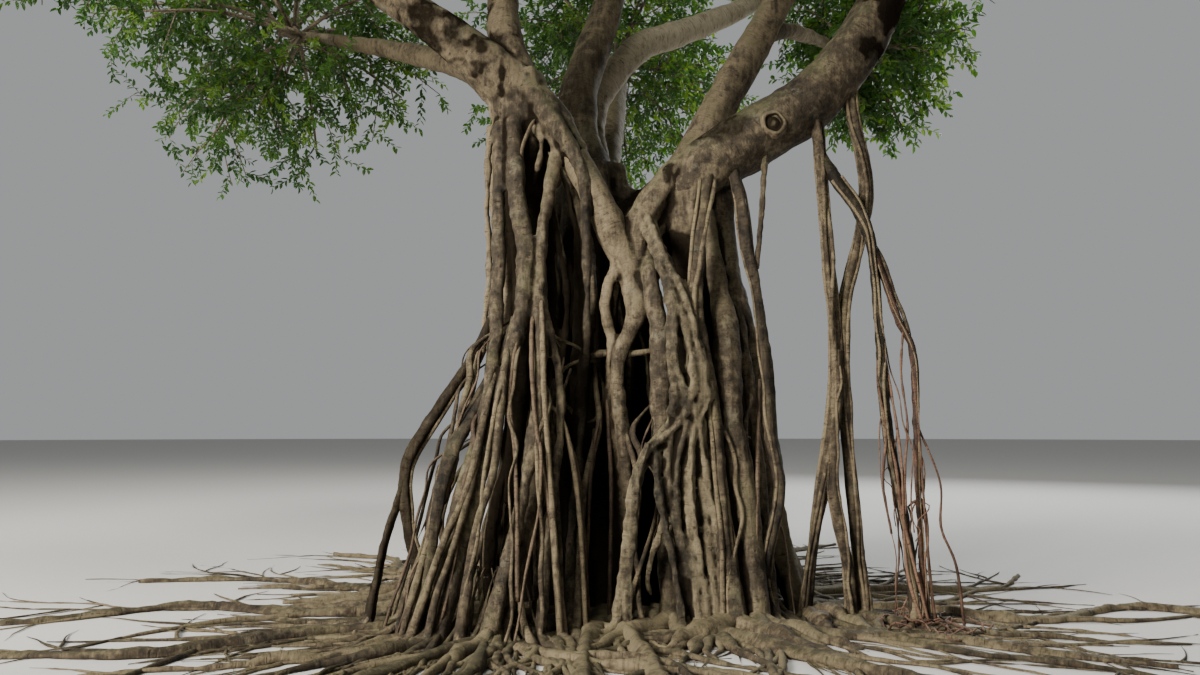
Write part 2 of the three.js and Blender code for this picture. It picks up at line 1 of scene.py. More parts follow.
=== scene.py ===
"""A banyan tree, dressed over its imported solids: bark, roots grown together, free roots, twigs and
leaves.

Metres, +Z up, -Y the front. Limbs follow the routes of the solids. Where many roots have grown together
their tubes are fused into one skin. Each mass of foliage is grown again by the rule of the solids, and
carried on to finer twigs and single leaves.
"""
import math

import bmesh
import bpy
import numpy as np
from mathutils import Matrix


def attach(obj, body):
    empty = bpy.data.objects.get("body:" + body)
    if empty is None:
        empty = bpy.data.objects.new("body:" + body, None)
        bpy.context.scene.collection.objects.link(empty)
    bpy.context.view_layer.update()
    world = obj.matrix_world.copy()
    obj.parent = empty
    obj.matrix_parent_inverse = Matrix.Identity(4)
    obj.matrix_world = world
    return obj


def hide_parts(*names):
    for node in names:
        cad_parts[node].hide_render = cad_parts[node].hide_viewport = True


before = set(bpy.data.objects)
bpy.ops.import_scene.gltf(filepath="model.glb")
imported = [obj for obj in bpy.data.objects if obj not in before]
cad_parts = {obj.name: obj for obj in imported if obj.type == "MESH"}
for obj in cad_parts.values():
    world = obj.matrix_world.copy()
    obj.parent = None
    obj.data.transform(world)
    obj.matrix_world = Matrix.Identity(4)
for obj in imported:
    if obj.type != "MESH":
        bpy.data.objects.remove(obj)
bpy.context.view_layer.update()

# The camera stands at eye level on the tree's front.
EYE = (0.0, -8.2, 1.5)
LENS_MM = 28.0
SENSOR_MM = 36.0
LOOK_UP = math.radians(5.66)

# Sizes that the solids share, in metres.
BOUGH_TIP = 0.075
STEM_TIP = 0.034
TWIG_ROOT = 0.030
TWIG_TIP = 0.014
MAIN_TWIGS = 7
HALF_PLANE_GAP = 0.006

# Foliage, from the main twigs down to the leaf.
FILL_TWIGS = 15
SIDE_TWIGS = 8
SPRAYS = 6
LEAVES = 15
SIDE_TWIG_LENGTH = 0.95
SIDE_TWIG_RADII = [0.011, 0.008, 0.005]
SPRAY_LENGTH = 0.42
SPRAY_RADII = [0.0042, 0.002]
LEAF_LENGTH = 0.105
GREEN_SHARES = [0.42, 0.40, 0.18]
# How far out in its mass a main twig and one between them end, and how that shrinks where they don't fit.
MAIN_REACH = 0.66
FILL_REACH = 0.74
LEAST_REACH = 0.26
REACH_STEP = 0.06
# How far twigs keep from the boughs.
TWIG_CLEARANCE = 0.06
SIDE_TWIG_CLEARANCE = 0.05

# How finely the grown-together roots are skinned, and how lumpy the skin is beside the usual.
SKIN_LEFT = 0.0205
SKIN_RIGHT = 0.021
SKIN_TRUNK = 0.030
SKIN_KNOTTED = 0.013
COLUMN_LUMPS = 1.3
KNOTTED_LUMPS = 2.0

# How each kind of limb is tubed: how many sides it has and how far its rings lie apart, its lumps as
# (height, size), its flutes as (count, depth, twist), and where it ends, if not at the ground.
BOUGH_TUBE = {"sides": 28, "spacing": 0.032, "lumps": (0.012, 0.15), "flutes": (3, 0.05, 1.3)}
COLLAR_TUBE = {**BOUGH_TUBE, "spacing": 0.035, "end": 1.0}
CORE_TUBE = {"sides": 40, "spacing": 0.06, "lumps": (0.02, 0.3), "flutes": (7, 0.09, 0.5), "end": 1.0}
STRAND_TUBE = {"sides": 10, "spacing": 0.045, "lumps": (0.010, 0.13), "end": 1.0}
LOBE_TUBE = {"sides": 32, "spacing": 0.02, "lumps": (0.010, 0.09), "flutes": (4, 0.2, 3.0), "end": 1.0}
FREE_TUBE = {"sides": 14, "spacing": 0.026, "lumps": (0.006, 0.06), "flutes": (3, 0.16, 2.5)}
THIN_TUBE = {"sides": 8, "spacing": 0.045, "lumps": (0.003, 0.06), "flutes": (2, 0.12, 4.0)}
SURFACE_TUBE = {"sides": 16, "spacing": 0.05, "lumps": (0.018, 0.14), "flutes": (3, 0.14, 4.0), "end": 1.0}
SIDE_TUBE = {"sides": 7, "spacing": 0.07, "lumps": (0.004, 0.09), "end": 1.0}
SIDE_FORK_TUBE = {"sides": 5, "spacing": 0.09, "lumps": (0.002, 0.09), "end": 1.0}
TOE_TUBE = {"sides": 9, "spacing": 0.05, "lumps": (0.005, 0.08), "flutes": (2, 0.1, 4.0), "end": 1.0}
RUNNER_TUBE = {"sides": 9, "spacing": 0.06, "lumps": (0.008, 0.07), "flutes": (3, 0.14, 5.0), "end": 1.0}
FAN_TUBE = {"sides": 8, "spacing": 0.06, "lumps": (0.006, 0.06), "flutes": (2, 0.14, 6.0), "end": 1.0}
MAT_TUBE = {"sides": 5, "spacing": 0.06, "lumps": (0.003, 0.06), "end": 1.0}
STEM_TUBE = {"sides": 10, "spacing": 0.06, "lumps": (0.004, 0.1), "end": 1.0}
TWIG_TUBE = {"sides": 5, "spacing": 0.2, "end": 1.0}

# How far the bend and the tone of a skin are blended, and the bend that counts as fully hollow, in voxels.
BEND_BLEND = 0.16
TONE_BLEND = 0.12
FULL_BEND = 0.09

# How closely points are taken along the routes, for the bark and for what foliage keeps clear of.
SAMPLE_SPACING = 0.03
WOOD_SPACING = 0.09


def seeded(key):
    """A repeatable number from 0 to 1 for each key: the fractional part of a large sine."""
    x = np.sin(np.asarray(key, dtype=float) * 127.1 + 311.7) * 43758.5453
    return x - np.floor(x)


def swing(key):
    """The same, from -1 to 1."""
    return 2 * seeded(key) - 1


def lattice(cell, seed):
    """A fixed number from -1 to 1 for each corner of a unit grid."""
    x = np.sin(cell @ np.array([127.1, 311.7, 74.7]) + 53.3 * seed) * 43758.5453
    return 2 * (x - np.floor(x)) - 1


def noise(points, size, seed=0):
    """Smooth lumps about size across, from -1 to 1: a grid's corner numbers, blended by s*s*(3 - 2s)."""
    scaled = points / size
    cell = np.floor(scaled)
    share = scaled - cell
    share = share * share * (3 - 2 * share)
    total = np.zeros(len(points))
    for corner in np.ndindex(2, 2, 2):
        weight = np.prod(np.where(corner, share, 1 - share), axis=1)
        total += weight * lattice(cell + corner, seed)
    return total


def unit(vectors):
    """Each vector divided by its length."""
    length = np.linalg.norm(vectors, axis=-1, keepdims=True)
    return vectors / np.maximum(length, 1e-9)


class Route:
    """A smooth curve through given points, with a radius at each of them, measured along its length."""

    FINE = 24

    def __init__(self, points, radii):
        """Between two points the curve is a cubic with half the difference of its neighbours as slope."""
        p = np.asarray(points, dtype=float)
        before = np.vstack([2 * p[0] - p[1], p[:-1]])[: len(p) - 1]
        after = np.vstack([p[2:], 2 * p[-1] - p[-2]])
        t = np.linspace(0, 1, self.FINE, endpoint=False)[:, None, None]
        a, b = p[:-1], p[1:]
        slope_a, slope_b = (b - before) / 2, (after - a) / 2
        cubic = (
            (2 * t**3 - 3 * t**2 + 1) * a
            + (t**3 - 2 * t**2 + t) * slope_a
            + (-2 * t**3 + 3 * t**2) * b
            + (t**3 - t**2) * slope_b
        )
        self.fine = np.vstack([cubic.transpose(1, 0, 2).reshape(-1, 3), p[-1]])
        steps = np.linalg.norm(np.diff(self.fine, axis=0), axis=1)
        self.far = np.concatenate([[0], np.cumsum(steps)])
        self.length = self.far[-1]
        places = np.arange(len(self.fine)) / self.FINE
        self.fine_radius = np.interp(places, np.arange(len(p)), radii)

    def at(self, shares):
        """Points at these shares of the length."""
        far = np.asarray(shares) * self.length
        return np.stack([np.interp(far, self.far, self.fine[:, k]) for k in range(3)], axis=-1)

    def radius(self, shares):
        """The radius at these shares of the length."""
        return np.interp(np.asarray(shares) * self.length, self.far, self.fine_radius)

    def heading(self, shares):
        """Unit tangents at these shares of the length."""
        step = 1e-3
        shares = np.asarray(shares, dtype=float)
        return unit(self.at(np.minimum(shares + step, 1)) - self.at(np.maximum(shares - step, 0)))

    def above_ground(self):
        """The share of the length at which the curve first passes below the ground, or 1."""
        below = np.nonzero(self.fine[:, 2] < 0)[0]
        return 1.0 if len(below) == 0 else self.far[below[0]] / self.length


class Shell:
    """Faces gathered from many grids before they become one mesh."""

    def __init__(self):
        """No faces yet."""
        self.points, self.quads, self.along, self.tone = [], [], [], []
        self.count = 0

    def add(self, points, quads, along, tone):
        """Adds a grid's faces, with how far along its limb each point is and one tone."""
        self.points.append(points)
        self.quads.append(quads + self.count)
        self.along.append(along)
        self.tone.append(np.full(len(points), tone))
        self.count += len(points)

    def arrays(self):
        """Everything gathered, as one array of each kind."""
        return tuple(np.concatenate(part) for part in (self.points, self.quads, self.along, self.tone))


def side_directions(heading):
    """Two unit directions square to each heading: its cross product with the axis that it follows least."""
    chord = heading.mean(axis=0)
    least = np.eye(3)[np.argmin(np.abs(chord))]
    across = unit(np.cross(heading, least))
    return across, np.cross(heading, across)


def spokes(across, over, angle):
    """For each pair of square directions, the unit direction at each angle: across * cos + over * sin."""
    return across[:, None] * np.cos(angle)[None, :, None] + over[:, None] * np.sin(angle)[None, :, None]


def ring_pairs(rows, sides):
    """In a grid of rows of points round a limb, each point's index, but for the last row, and that of the
    next one round."""
    ring = np.arange(sides)
    row = np.arange(rows - 1)[:, None] * sides
    return row + ring, row + (ring + 1) % sides


def tube(shell, route, tone, sides, spacing, lumps=(0.0, 0.1), flutes=(0, 0.0, 0.0), end=None):
    """Adds a closed tube: at distance s and angle a, the centre of the route plus its radius, times 1 +
    depth * cos(count * a + twist * s), plus noise of the place, where lumps is (height, size) and flutes
    is (count, depth, twist). It ends at a share of the route, or else where the route enters the ground."""
    end = route.above_ground() if end is None else end
    rows = max(3, int(round(route.length * end / spacing)))
    shares = np.linspace(0, end, rows)
    centre, radius = route.at(shares), route.radius(shares)
    heading = route.heading(shares)
    across, over = side_directions(heading)
    angle = np.linspace(0, 2 * math.pi, sides, endpoint=False)
    far = shares * route.length
    count, depth, twist = flutes
    ripple = 1 + depth * np.cos(count * angle[None, :] + twist * far[:, None])
    spoke = spokes(across, over, angle)
    grid = centre[:, None, :] + spoke * (radius[:, None] * ripple)[:, :, None]
    if lumps[0]:
        flat = grid.reshape(-1, 3)
        rise = noise(flat, lumps[1], 3) + 0.5 * noise(flat, lumps[1] / 2.3, 5)
        grid = grid + spoke * (lumps[0] * rise.reshape(rows, sides))[:, :, None]
    points = np.vstack([grid.reshape(-1, 3), centre[0], centre[-1]])
    points[:, 2] = np.maximum(points[:, 2], 0)
    here, there = ring_pairs(rows, sides)
    wall = np.stack([here, there, there + sides, here + sides], axis=-1).reshape(-1, 4)
    ring = np.arange(sides)
    foot, tip = rows * sides, rows * sides + 1
    last = (rows - 1) * sides
    near_cap = np.stack([np.full(sides, foot), (ring + 1) % sides, ring, ring], axis=-1)
    next_ring = last + (ring + 1) % sides
    far_cap = np.stack([np.full(sides, tip), last + ring, next_ring, next_ring], axis=-1)
    along = np.concatenate([np.repeat(far, sides), far[[0, -1]]])
    shell.add(points, np.vstack([wall, near_cap, far_cap]), along, tone)


def give_attributes(mesh, attributes):
    """Stores one number for each vertex under each name."""
    for key, values in attributes.items():
        layer = mesh.attributes.new(key, "FLOAT", "POINT")
        layer.data.foreach_set("value", values.astype(np.float32))


def mesh_from(name, points, quads, attributes=None, smooth=True):
    """A mesh from arrays. A row of quads that repeats its last corner is a triangle."""
    triangle = quads[:, 2] == quads[:, 3]
    sizes = np.where(triangle, 3, 4)
    keep = np.ones(quads.shape, dtype=bool)
    keep[triangle, 3] = False
    corners = quads[keep]
    mesh = bpy.data.meshes.new(name)
    mesh.vertices.add(len(points))
    mesh.vertices.foreach_set("co", points.astype(np.float32).ravel())
    mesh.loops.add(len(corners))
    mesh.loops.foreach_set("vertex_index", corners.astype(np.int32))
    mesh.polygons.add(len(sizes))
    mesh.polygons.foreach_set("loop_start", np.concatenate([[0], np.cumsum(sizes)[:-1]]).astype(np.int32))
    mesh.polygons.foreach_set("use_smooth", np.full(len(sizes), smooth))
    mesh.update(calc_edges=True)
    give_attributes(mesh, attributes or {})
    return mesh


def placed(name, data):
    """A new object of the scene that shows this data."""
    made = bpy.data.objects.new(name, data)
    bpy.context.scene.collection.objects.link(made)
    return made


def piece(mesh, materials, nodes):
    """An object of the tree that rides on its only body, with these solids hidden."""
    made = placed(mesh.name, mesh)
    for material in materials:
        mesh.materials.append(material)
    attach(made, "root")
    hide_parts(*nodes)


def bark_piece(name, shell, material, nodes, slot, **traits):
    """One piece of a shell's tubes. Each further trait of its bark is a rule that takes its points and
    how far along their limb they are."""
    points, quads, along, tone = shell.arrays()
    values = {key: rule(points, along) for key, rule in traits.items()}
    piece(mesh_from(name, points, quads, {"along": along, "tone": tone, **values}), [material], nodes)


def triples(items, key):
    """The three numbers that each of a mesh's items holds under a key."""
    values = np.empty(len(items) * 3, dtype=np.float32)
    items.foreach_get(key, values)
    return values.reshape(-1, 3).astype(float)


def neighbour_mean(points, edges):
    """The mean of each vertex's neighbours."""
    a, b = edges[:, 0], edges[:, 1]
    count = np.bincount(edges.ravel(), minlength=len(points))[:, None]
    total = np.stack(
        [
            np.bincount(a, points[b, k], len(points)) + np.bincount(b, points[a, k], len(points))
            for k in range(points.shape[1])
        ],
        axis=-1,
    )
    return total / np.maximum(count, 1)


def nearest(points, samples):
    """For each point the index of the nearest sample, worked out as the least |s|^2 - 2 p.s, in blocks."""
    samples = samples.astype(np.float32)
    square = (samples**2).sum(axis=1)
    found = np.empty(len(points), dtype=np.int64)
    for first in range(0, len(points), 8192):
        block = points[first : first + 8192].astype(np.float32)
        found[first : first + 8192] = np.argmin(square - 2 * block @ samples.T, axis=1)
    return found


def close_at_ground(mesh):
    """Takes away what lies below the ground and closes the openings flat at ground level."""
    work = bmesh.new()
    work.from_mesh(mesh)
    below = [face for face in work.faces if all(v.co.z < 0 for v in face.verts)]
    bmesh.ops.delete(work, geom=below, context="FACES")
    for vertex in work.verts:
        vertex.co.z = max(vertex.co.z, 0.0)
    rim = [edge for edge in work.edges if edge.is_boundary]
    bmesh.ops.holes_fill(work, edges=rim, sides=0)
    work.to_mesh(mesh)
    work.free()


def sunk(points, normals, rings):
    """How shaded each point is inside a set of rings: 0 on them or above the first one, and 1 well inside
    it or where the surface faces the middle."""
    x, y, z, rx, ry = np.array(rings)[::-1].T
    height = points[:, 2]
    out = np.stack(
        [
            (points[:, 0] - np.interp(height, z, x)) / np.interp(height, z, rx),
            (points[:, 1] - np.interp(height, z, y)) / np.interp(height, z, ry),
        ],
        axis=-1,
    )
    share = np.linalg.norm(out, axis=1)
    inward = -(unit(out) * normals[:, :2]).sum(axis=1)
    facing = np.clip(1.6 * inward - 0.1, 0, 1) * np.clip((1.5 - share) / 0.3, 0, 1)
    return np.maximum(np.clip((0.98 - share) / 0.28, 0, 1), facing) * np.clip((z[-1] - height) / 0.35, 0, 1)


# Dark wet patches on the boughs and round their fork, and painted shade on the left bough and on the
# dark bough: the middle, the reach and the strength of each.
WET_AND_SHADED_PATCHES = [
    ((2.42, -0.72, 5.12), (0.22, 0.3, 0.36), 1.0), ((2.25, -0.72, 4.72), (0.09, 0.3, 0.12), 1.0),
    ((0.56, -0.58, 3.68), (0.04, 0.2, 0.14), 0.8), ((0.98, -0.6, 4.0), (0.24, 0.3, 0.13), 0.74),
    # The second patch on this line and both on the next are painted shade.
    ((-0.84, -0.38, 4.5), (0.035, 0.2, 0.16), 1.0), ((-0.2, 0.6, 4.9), (0.35, 0.5, 0.8), 0.6),
    ((-1.4, -0.36, 5.0), (0.5, 0.5, 0.38), 0.8), ((-2.3, -0.45, 5.6), (0.7, 0.5, 0.5), 0.8),
]


def wet_and_shaded(points):
    """How dark each point is painted by the patches, damp bark and painted shade: a patch's strength in
    its middle, falling by 1 a reach, with a ragged edge of noise."""
    ragged = 1.6 + 0.8 * noise(points, 0.15, 11) + 0.7 * noise(points, 0.06, 13)
    darkened = np.zeros(len(points))
    for middle, reach, strength in WET_AND_SHADED_PATCHES:
        away = np.linalg.norm((points - middle) / reach, axis=1)
        darkened = np.maximum(darkened, strength * np.clip(ragged - away, 0, 1))
    return darkened


# The middle of the hollow between the columns, and how far its shade reaches.
RECESS = Route(
    [(-0.14, -0.1, 3.1), (-0.14, -0.2, 2.2), (-0.1, -0.32, 1.2), (-0.08, -0.5, 0.0)], [0.12, 0.26, 0.3, 0.3]
)


def in_recess(points):
    """How shaded each point is between the columns: 1 within the reach of the middle line, and 0 past 1.7
    of it."""
    shares = np.linspace(0, 1, 60)
    middle, reach = RECESS.at(shares), RECESS.radius(shares)
    index = nearest(points, middle)
    away = np.linalg.norm(points - middle[index], axis=1) / reach[index]
    return np.clip((1.7 - away) / 0.7, 0, 1)


def grown_together(name, shell, sources, voxel, rounds=3, rough=1.0, rings=None):
    """One skin over many tubes: a voxel remesh, a few rounds of smoothing, lumps of noise along the
    normal, and for the bark the distance along the nearest source, that source's tone, and how dark it is
    painted: painted shade with some dirt where the skin bends in, and where rings are given, painted
    shade inside them and between the columns, and the damp and shaded patches."""
    points, quads, _, _ = shell.arrays()
    raw = mesh_from(name + "_raw", points, quads)
    holder = placed(name + "_raw", raw)
    remesh = holder.modifiers.new("Skin", "REMESH")
    remesh.mode = "VOXEL"
    remesh.voxel_size = voxel
    ready = holder.evaluated_get(bpy.context.evaluated_depsgraph_get())
    skin = bpy.data.meshes.new_from_object(ready)
    bpy.data.objects.remove(holder)
    bpy.data.meshes.remove(raw)
    skin.name = name
    edges = np.empty(len(skin.edges) * 2, dtype=np.int32)
    skin.edges.foreach_get("vertices", edges)
    edges = edges.reshape(-1, 2)
    points = triples(skin.vertices, "co")
    for _ in range(rounds):
        points += 0.5 * (neighbour_mean(points, edges) - points)
    skin.vertices.foreach_set("co", points.astype(np.float32).ravel())
    skin.update()
    normals = triples(skin.vertex_normals, "vector")
    bend = ((neighbour_mean(points, edges) - points) * normals).sum(axis=1)
    for _ in range(int(BEND_BLEND / voxel)):
        bend += 0.5 * (neighbour_mean(bend[:, None], edges)[:, 0] - bend)
    # Creases are painted dark, the more the skin bends in: painted shade with some dirt.
    hollow = np.clip(0.5 + bend / (FULL_BEND * voxel), 0, 1)
    rise = rough * (0.006 * noise(points, 0.11, 3) + 0.004 * noise(points, 0.045, 5))
    points += normals * (rise * (1 - 0.6 * hollow))[:, None]
    # Painted shade inside the rings and in the hollow between the columns, and the wet and shaded patches.
    if rings:
        hollow = np.max([hollow, sunk(points, normals, rings), in_recess(points), wet_and_shaded(points)], axis=0)
    skin.vertices.foreach_set("co", points.astype(np.float32).ravel())
    samples, far, tones = limb_samples(sources)
    index = nearest(points, samples)
    tone = tones[index]
    for _ in range(int(TONE_BLEND / voxel)):
        tone += 0.5 * (neighbour_mean(tone[:, None], edges)[:, 0] - tone)
    give_attributes(skin, {"along": far[index], "tone": tone, "hollow": hollow})
    close_at_ground(skin)
    skin.polygons.foreach_set("use_smooth", np.ones(len(skin.polygons), dtype=bool))
    return skin


def limb_samples(sources):
    """Points down the middle of each route, how far along they are from its given start, and its given
    tone."""
    points, far, tones = [], [], []
    for route, begin, tone in sources:
        shares = np.linspace(0, 1, max(2, int(route.length / SAMPLE_SPACING)))
        points.append(route.at(shares))
        far.append(shares * route.length + begin)
        tones.append(np.full(len(shares), tone))
    return np.concatenate(points), np.concatenate(far), np.concatenate(tones)


# Materials.


def node(tree, kind, inputs=None, **settings):
    """A shader node with its settings, each input set to a value or linked to a socket."""
    made = tree.nodes.new(kind)
    for key, value in settings.items():
        setattr(made, key, value)
    for key, value in (inputs or {}).items():
        if isinstance(value, bpy.types.NodeSocket):
            tree.links.new(value, made.inputs[key])
        else:
            made.inputs[key].default_value = value
    return made


def ramp(tree, factor, stops):
    """A colour ramp through (place, colour) stops."""
    made = node(tree, "ShaderNodeValToRGB", {"Fac": factor})
    band = made.color_ramp
    while len(band.elements) < len(stops):
        band.elements.new(0.5)
    for element, (place, colour) in zip(band.elements, stops):
        element.position = place
        element.color = (*colour, 1)
    return made.outputs["Color"]


def math_node(tree, operation, a, b=0.0):
    """The result of one operation on two values or sockets."""
    return node(tree, "ShaderNodeMath", {0: a, 1: b}, operation=operation).outputs[0]


def mix(tree, factor, a, b, blend="MIX"):
    """Colour b laid over colour a by a factor. Each is three numbers or a socket."""
    made = node(tree, "ShaderNodeMix", {"Factor": factor}, data_type="RGBA", blend_type=blend)
    for socket, value in ((made.inputs[6], a), (made.inputs[7], b)):
        if isinstance(value, bpy.types.NodeSocket):
            tree.links.new(value, socket)
        else:
            socket.default_value = (*value, 1)
    return made.outputs[2]


MOSS = (0.045, 0.052, 0.018)
LICHEN = (0.125, 0.118, 0.080)
# Near-black laid over the bark: mostly painted shade in creases, recesses and shaded limbs, partly real dirt
# and wet patches.
SHADE_AND_GRIME = (0.009, 0.007, 0.005)
# Cycles a metre: of the streaks across and along Z, and of the pits round a limb and along it.
STREAK_SCALES = {"X": 27.0, "Y": 27.0, "Z": 3.2}
PIT_ROUND = 19.0
PIT_ALONG = 78.0


def new_material(name):
    """A material, its nodes and the one for its surface."""
    material = bpy.data.materials.new(name)
    material.use_nodes = True
    return material, material.node_tree, material.node_tree.nodes["Principled BSDF"]


def bark(name, colours, rings, moss, roughness, pale_colours=None):
    """Bark that follows its limb: blotches and mottling, fine faint rings and short dark pits across the
    limb, lichen, moss on what faces up, and near-black where the hollow attribute is high: painted shade
    in creases, recesses and shaded limbs, with some real dirt and damp patches. rings is how many noise
    cycles of them a metre holds, and moss how much of it and of the lichen shows."""
    material, tree, surface = new_material(name)
    place = node(tree, "ShaderNodeTexCoord").outputs["Object"]
    along = node(tree, "ShaderNodeAttribute", attribute_name="along").outputs["Fac"]
    tone = node(tree, "ShaderNodeAttribute", attribute_name="tone").outputs["Fac"]
    hollow = node(tree, "ShaderNodeAttribute", attribute_name="hollow").outputs["Fac"]
    paleness = node(tree, "ShaderNodeAttribute", attribute_name="pale").outputs["Fac"]

    def cloud(size, detail=6.0, rough=0.62, vector=place):
        """Noise of the place, size cycles a metre."""
        settings = {"Vector": vector, "Scale": size, "Detail": detail, "Roughness": rough}
        return node(tree, "ShaderNodeTexNoise", settings).outputs["Fac"]

    def weighed(value, weight, rest):
        """value * weight + rest, where rest is a number or a socket."""
        made = math_node(tree, "MULTIPLY_ADD", value, weight)
        if isinstance(rest, bpy.types.NodeSocket):
            tree.links.new(rest, made.node.inputs[2])
        else:
            made.node.inputs[2].default_value = rest
        return made

    blotch, mottle, grain = cloud(2.6), cloud(15.0), cloud(75.0, 4.0, 0.7)
    xyz = node(tree, "ShaderNodeSeparateXYZ", {"Vector": place}).outputs
    scaled = {axis: math_node(tree, "MULTIPLY", xyz[axis], scale) for axis, scale in STREAK_SCALES.items()}
    upright = node(tree, "ShaderNodeCombineXYZ", scaled).outputs["Vector"]
    streak = cloud(1.0, 5.0, 0.65, upright)
    level = weighed(blotch, 0.75, -0.56)
    level = weighed(streak, 0.44, level)
    level = weighed(mottle, 0.62, level)
    level = weighed(grain, 0.22, level)
    level = weighed(tone, 0.26, level)

    dark, middle, pale = colours
    colour = ramp(tree, level, [(0.30, dark), (0.50, middle), (0.72, pale)])
    if pale_colours:
        dark, middle, pale = pale_colours
        colour = mix(tree, paleness, colour, ramp(tree, level, [(0.30, dark), (0.50, middle), (0.72, pale)]))

    scaled = {axis: math_node(tree, "MULTIPLY", xyz[axis], PIT_ROUND) for axis in "XY"}
    scaled["Z"] = weighed(along, PIT_ALONG, math_node(tree, "MULTIPLY", xyz["Z"], 9.0))
    stretched = node(tree, "ShaderNodeCombineXYZ", scaled).outputs["Vector"]
    pits = cloud(1.0, 3.0, 0.55, stretched)
    pit = ramp(tree, pits, [(0.30, (0.22, 0.19, 0.17)), (0.41, (1, 1, 1))])
    colour = mix(tree, 0.85, colour, pit, "MULTIPLY")
    wavy = weighed(mottle, 2.4, math_node(tree, "MULTIPLY", along, rings))
    settings = {"W": wavy, "Scale": 1.0, "Detail": 3.0, "Roughness": 0.7}
    ring = node(tree, "ShaderNodeTexNoise", settings, noise_dimensions="1D").outputs["Fac"]
    line = ramp(tree, ring, [(0.34, (0.62, 0.60, 0.58)), (0.50, (1, 1, 1)), (0.68, (1.10, 1.09, 1.07))])
    colour = mix(tree, math_node(tree, "MULTIPLY", blotch, 0.95), colour, line, "MULTIPLY")

    patch = cloud(4.2, 9.0, 0.75)
    spot = ramp(tree, patch, [(0.57, (0, 0, 0)), (0.64, (1, 1, 1))])
    colour = mix(tree, math_node(tree, "MULTIPLY", spot, moss), colour, LICHEN)
    normal = node(tree, "ShaderNodeNewGeometry").outputs["Normal"]
    upward = node(tree, "ShaderNodeSeparateXYZ", {"Vector": normal})
    green = ramp(tree, weighed(upward.outputs["Z"], 0.26, blotch), [(0.58, (0, 0, 0)), (0.76, (1, 1, 1))])
    colour = mix(tree, math_node(tree, "MULTIPLY", green, moss), colour, MOSS)
    # Painted shade, with some real dirt and wet patches: the hollow attribute, ragged by the mottling, lays
    # the near-black over the bark and takes its gloss away.
    ragged = math_node(tree, "MULTIPLY", hollow, weighed(mottle, 1.0, 0.5))
    deep = ramp(tree, ragged, [(0.50, (0, 0, 0)), (0.80, (1, 1, 1))])
    colour = mix(tree, math_node(tree, "MULTIPLY", deep, 0.93), colour, SHADE_AND_GRIME)
    tree.links.new(colour, surface.inputs["Base Color"])
    surface.inputs["Roughness"].default_value = roughness
    gloss = math_node(tree, "MULTIPLY", math_node(tree, "SUBTRACT", 1.0, deep), 0.25)
    tree.links.new(gloss, surface.inputs["Specular IOR Level"])
    height = weighed(grain, 0.35, math_node(tree, "MULTIPLY", mottle, 0.9))
    height = weighed(ring, 0.25, height)
    height = weighed(streak, 0.9, height)
    height = weighed(math_node(tree, "MINIMUM", pits, 0.45), 2.4, height)
    bump = node(tree, "ShaderNodeBump", {"Height": height, "Distance": 0.012, "Strength": 0.75})
    tree.links.new(bump.outputs["Normal"], surface.inputs["Normal"])
    return material


def leaf_green(name, colour, light_through):
    """A smooth leaf in one colour that lets some light through."""
    material, tree, surface = new_material(name)
    surface.inputs["Base Color"].default_value = (*colour, 1)
    surface.inputs["Roughness"].default_value = 0.38
    surface.inputs["Specular IOR Level"].default_value = 0.45
    glow = node(tree, "ShaderNodeBsdfTranslucent", {"Color": (*light_through, 1)})
    shares = {"Fac": 0.38, 1: surface.outputs["BSDF"], 2: glow.outputs["BSDF"]}
    both = node(tree, "ShaderNodeMixShader", shares)
    tree.links.new(both.outputs["Shader"], tree.nodes["Material Output"].inputs["Surface"])
    return material


BROWN = ((0.008, 0.006, 0.003), (0.042, 0.031, 0.018), (0.142, 0.111, 0.067))
BUFF = ((0.085, 0.067, 0.042), (0.215, 0.178, 0.118), (0.390, 0.335, 0.240))
RUST = ((0.013, 0.008, 0.004), (0.045, 0.028, 0.016), (0.102, 0.070, 0.042))
FOX = ((0.019, 0.009, 0.005), (0.068, 0.034, 0.020), (0.142, 0.082, 0.050))
ROOT_BROWN = ((0.008, 0.006, 0.003), (0.043, 0.031, 0.018), (0.142, 0.111, 0.065))
GREY_GREEN = ((0.008, 0.007, 0.004), (0.041, 0.032, 0.019), (0.138, 0.111, 0.067))
TWIG_BROWN = ((0.040, 0.030, 0.021), (0.110, 0.085, 0.057), (0.210, 0.172, 0.122))
BARK = bark("bark", BROWN, rings=60.0, moss=0.45, roughness=0.82)
PALE_BARK = bark("pale_bark", BROWN, rings=45.0, moss=0.3, roughness=0.8, pale_colours=BUFF)
ROOT_BARK = bark("root_bark", ROOT_BROWN, rings=75.0, moss=0.25, roughness=0.85)
KNOTTED_BARK = bark("knotted_bark", GREY_GREEN, rings=50.0, moss=0.22, roughness=0.88)
RED_ROOT = bark("red_root", RUST, rings=60.0, moss=0.0, roughness=0.7)
FOX_ROOT = bark("fox_root", FOX, rings=60.0, moss=0.0, roughness=0.65)
TWIG_BARK = bark("twig_bark", TWIG_BROWN, rings=40.0, moss=0.2, roughness=0.85)
GREENS = [
    leaf_green("leaf_deep", (0.018, 0.055, 0.012), (0.06, 0.17, 0.015)),
    leaf_green("leaf_green", (0.034, 0.092, 0.016), (0.12, 0.28, 0.02)),
    leaf_green("leaf_fresh", (0.075, 0.155, 0.022), (0.25, 0.42, 0.035)),
]


# The limbs, along the same routes as the solids.

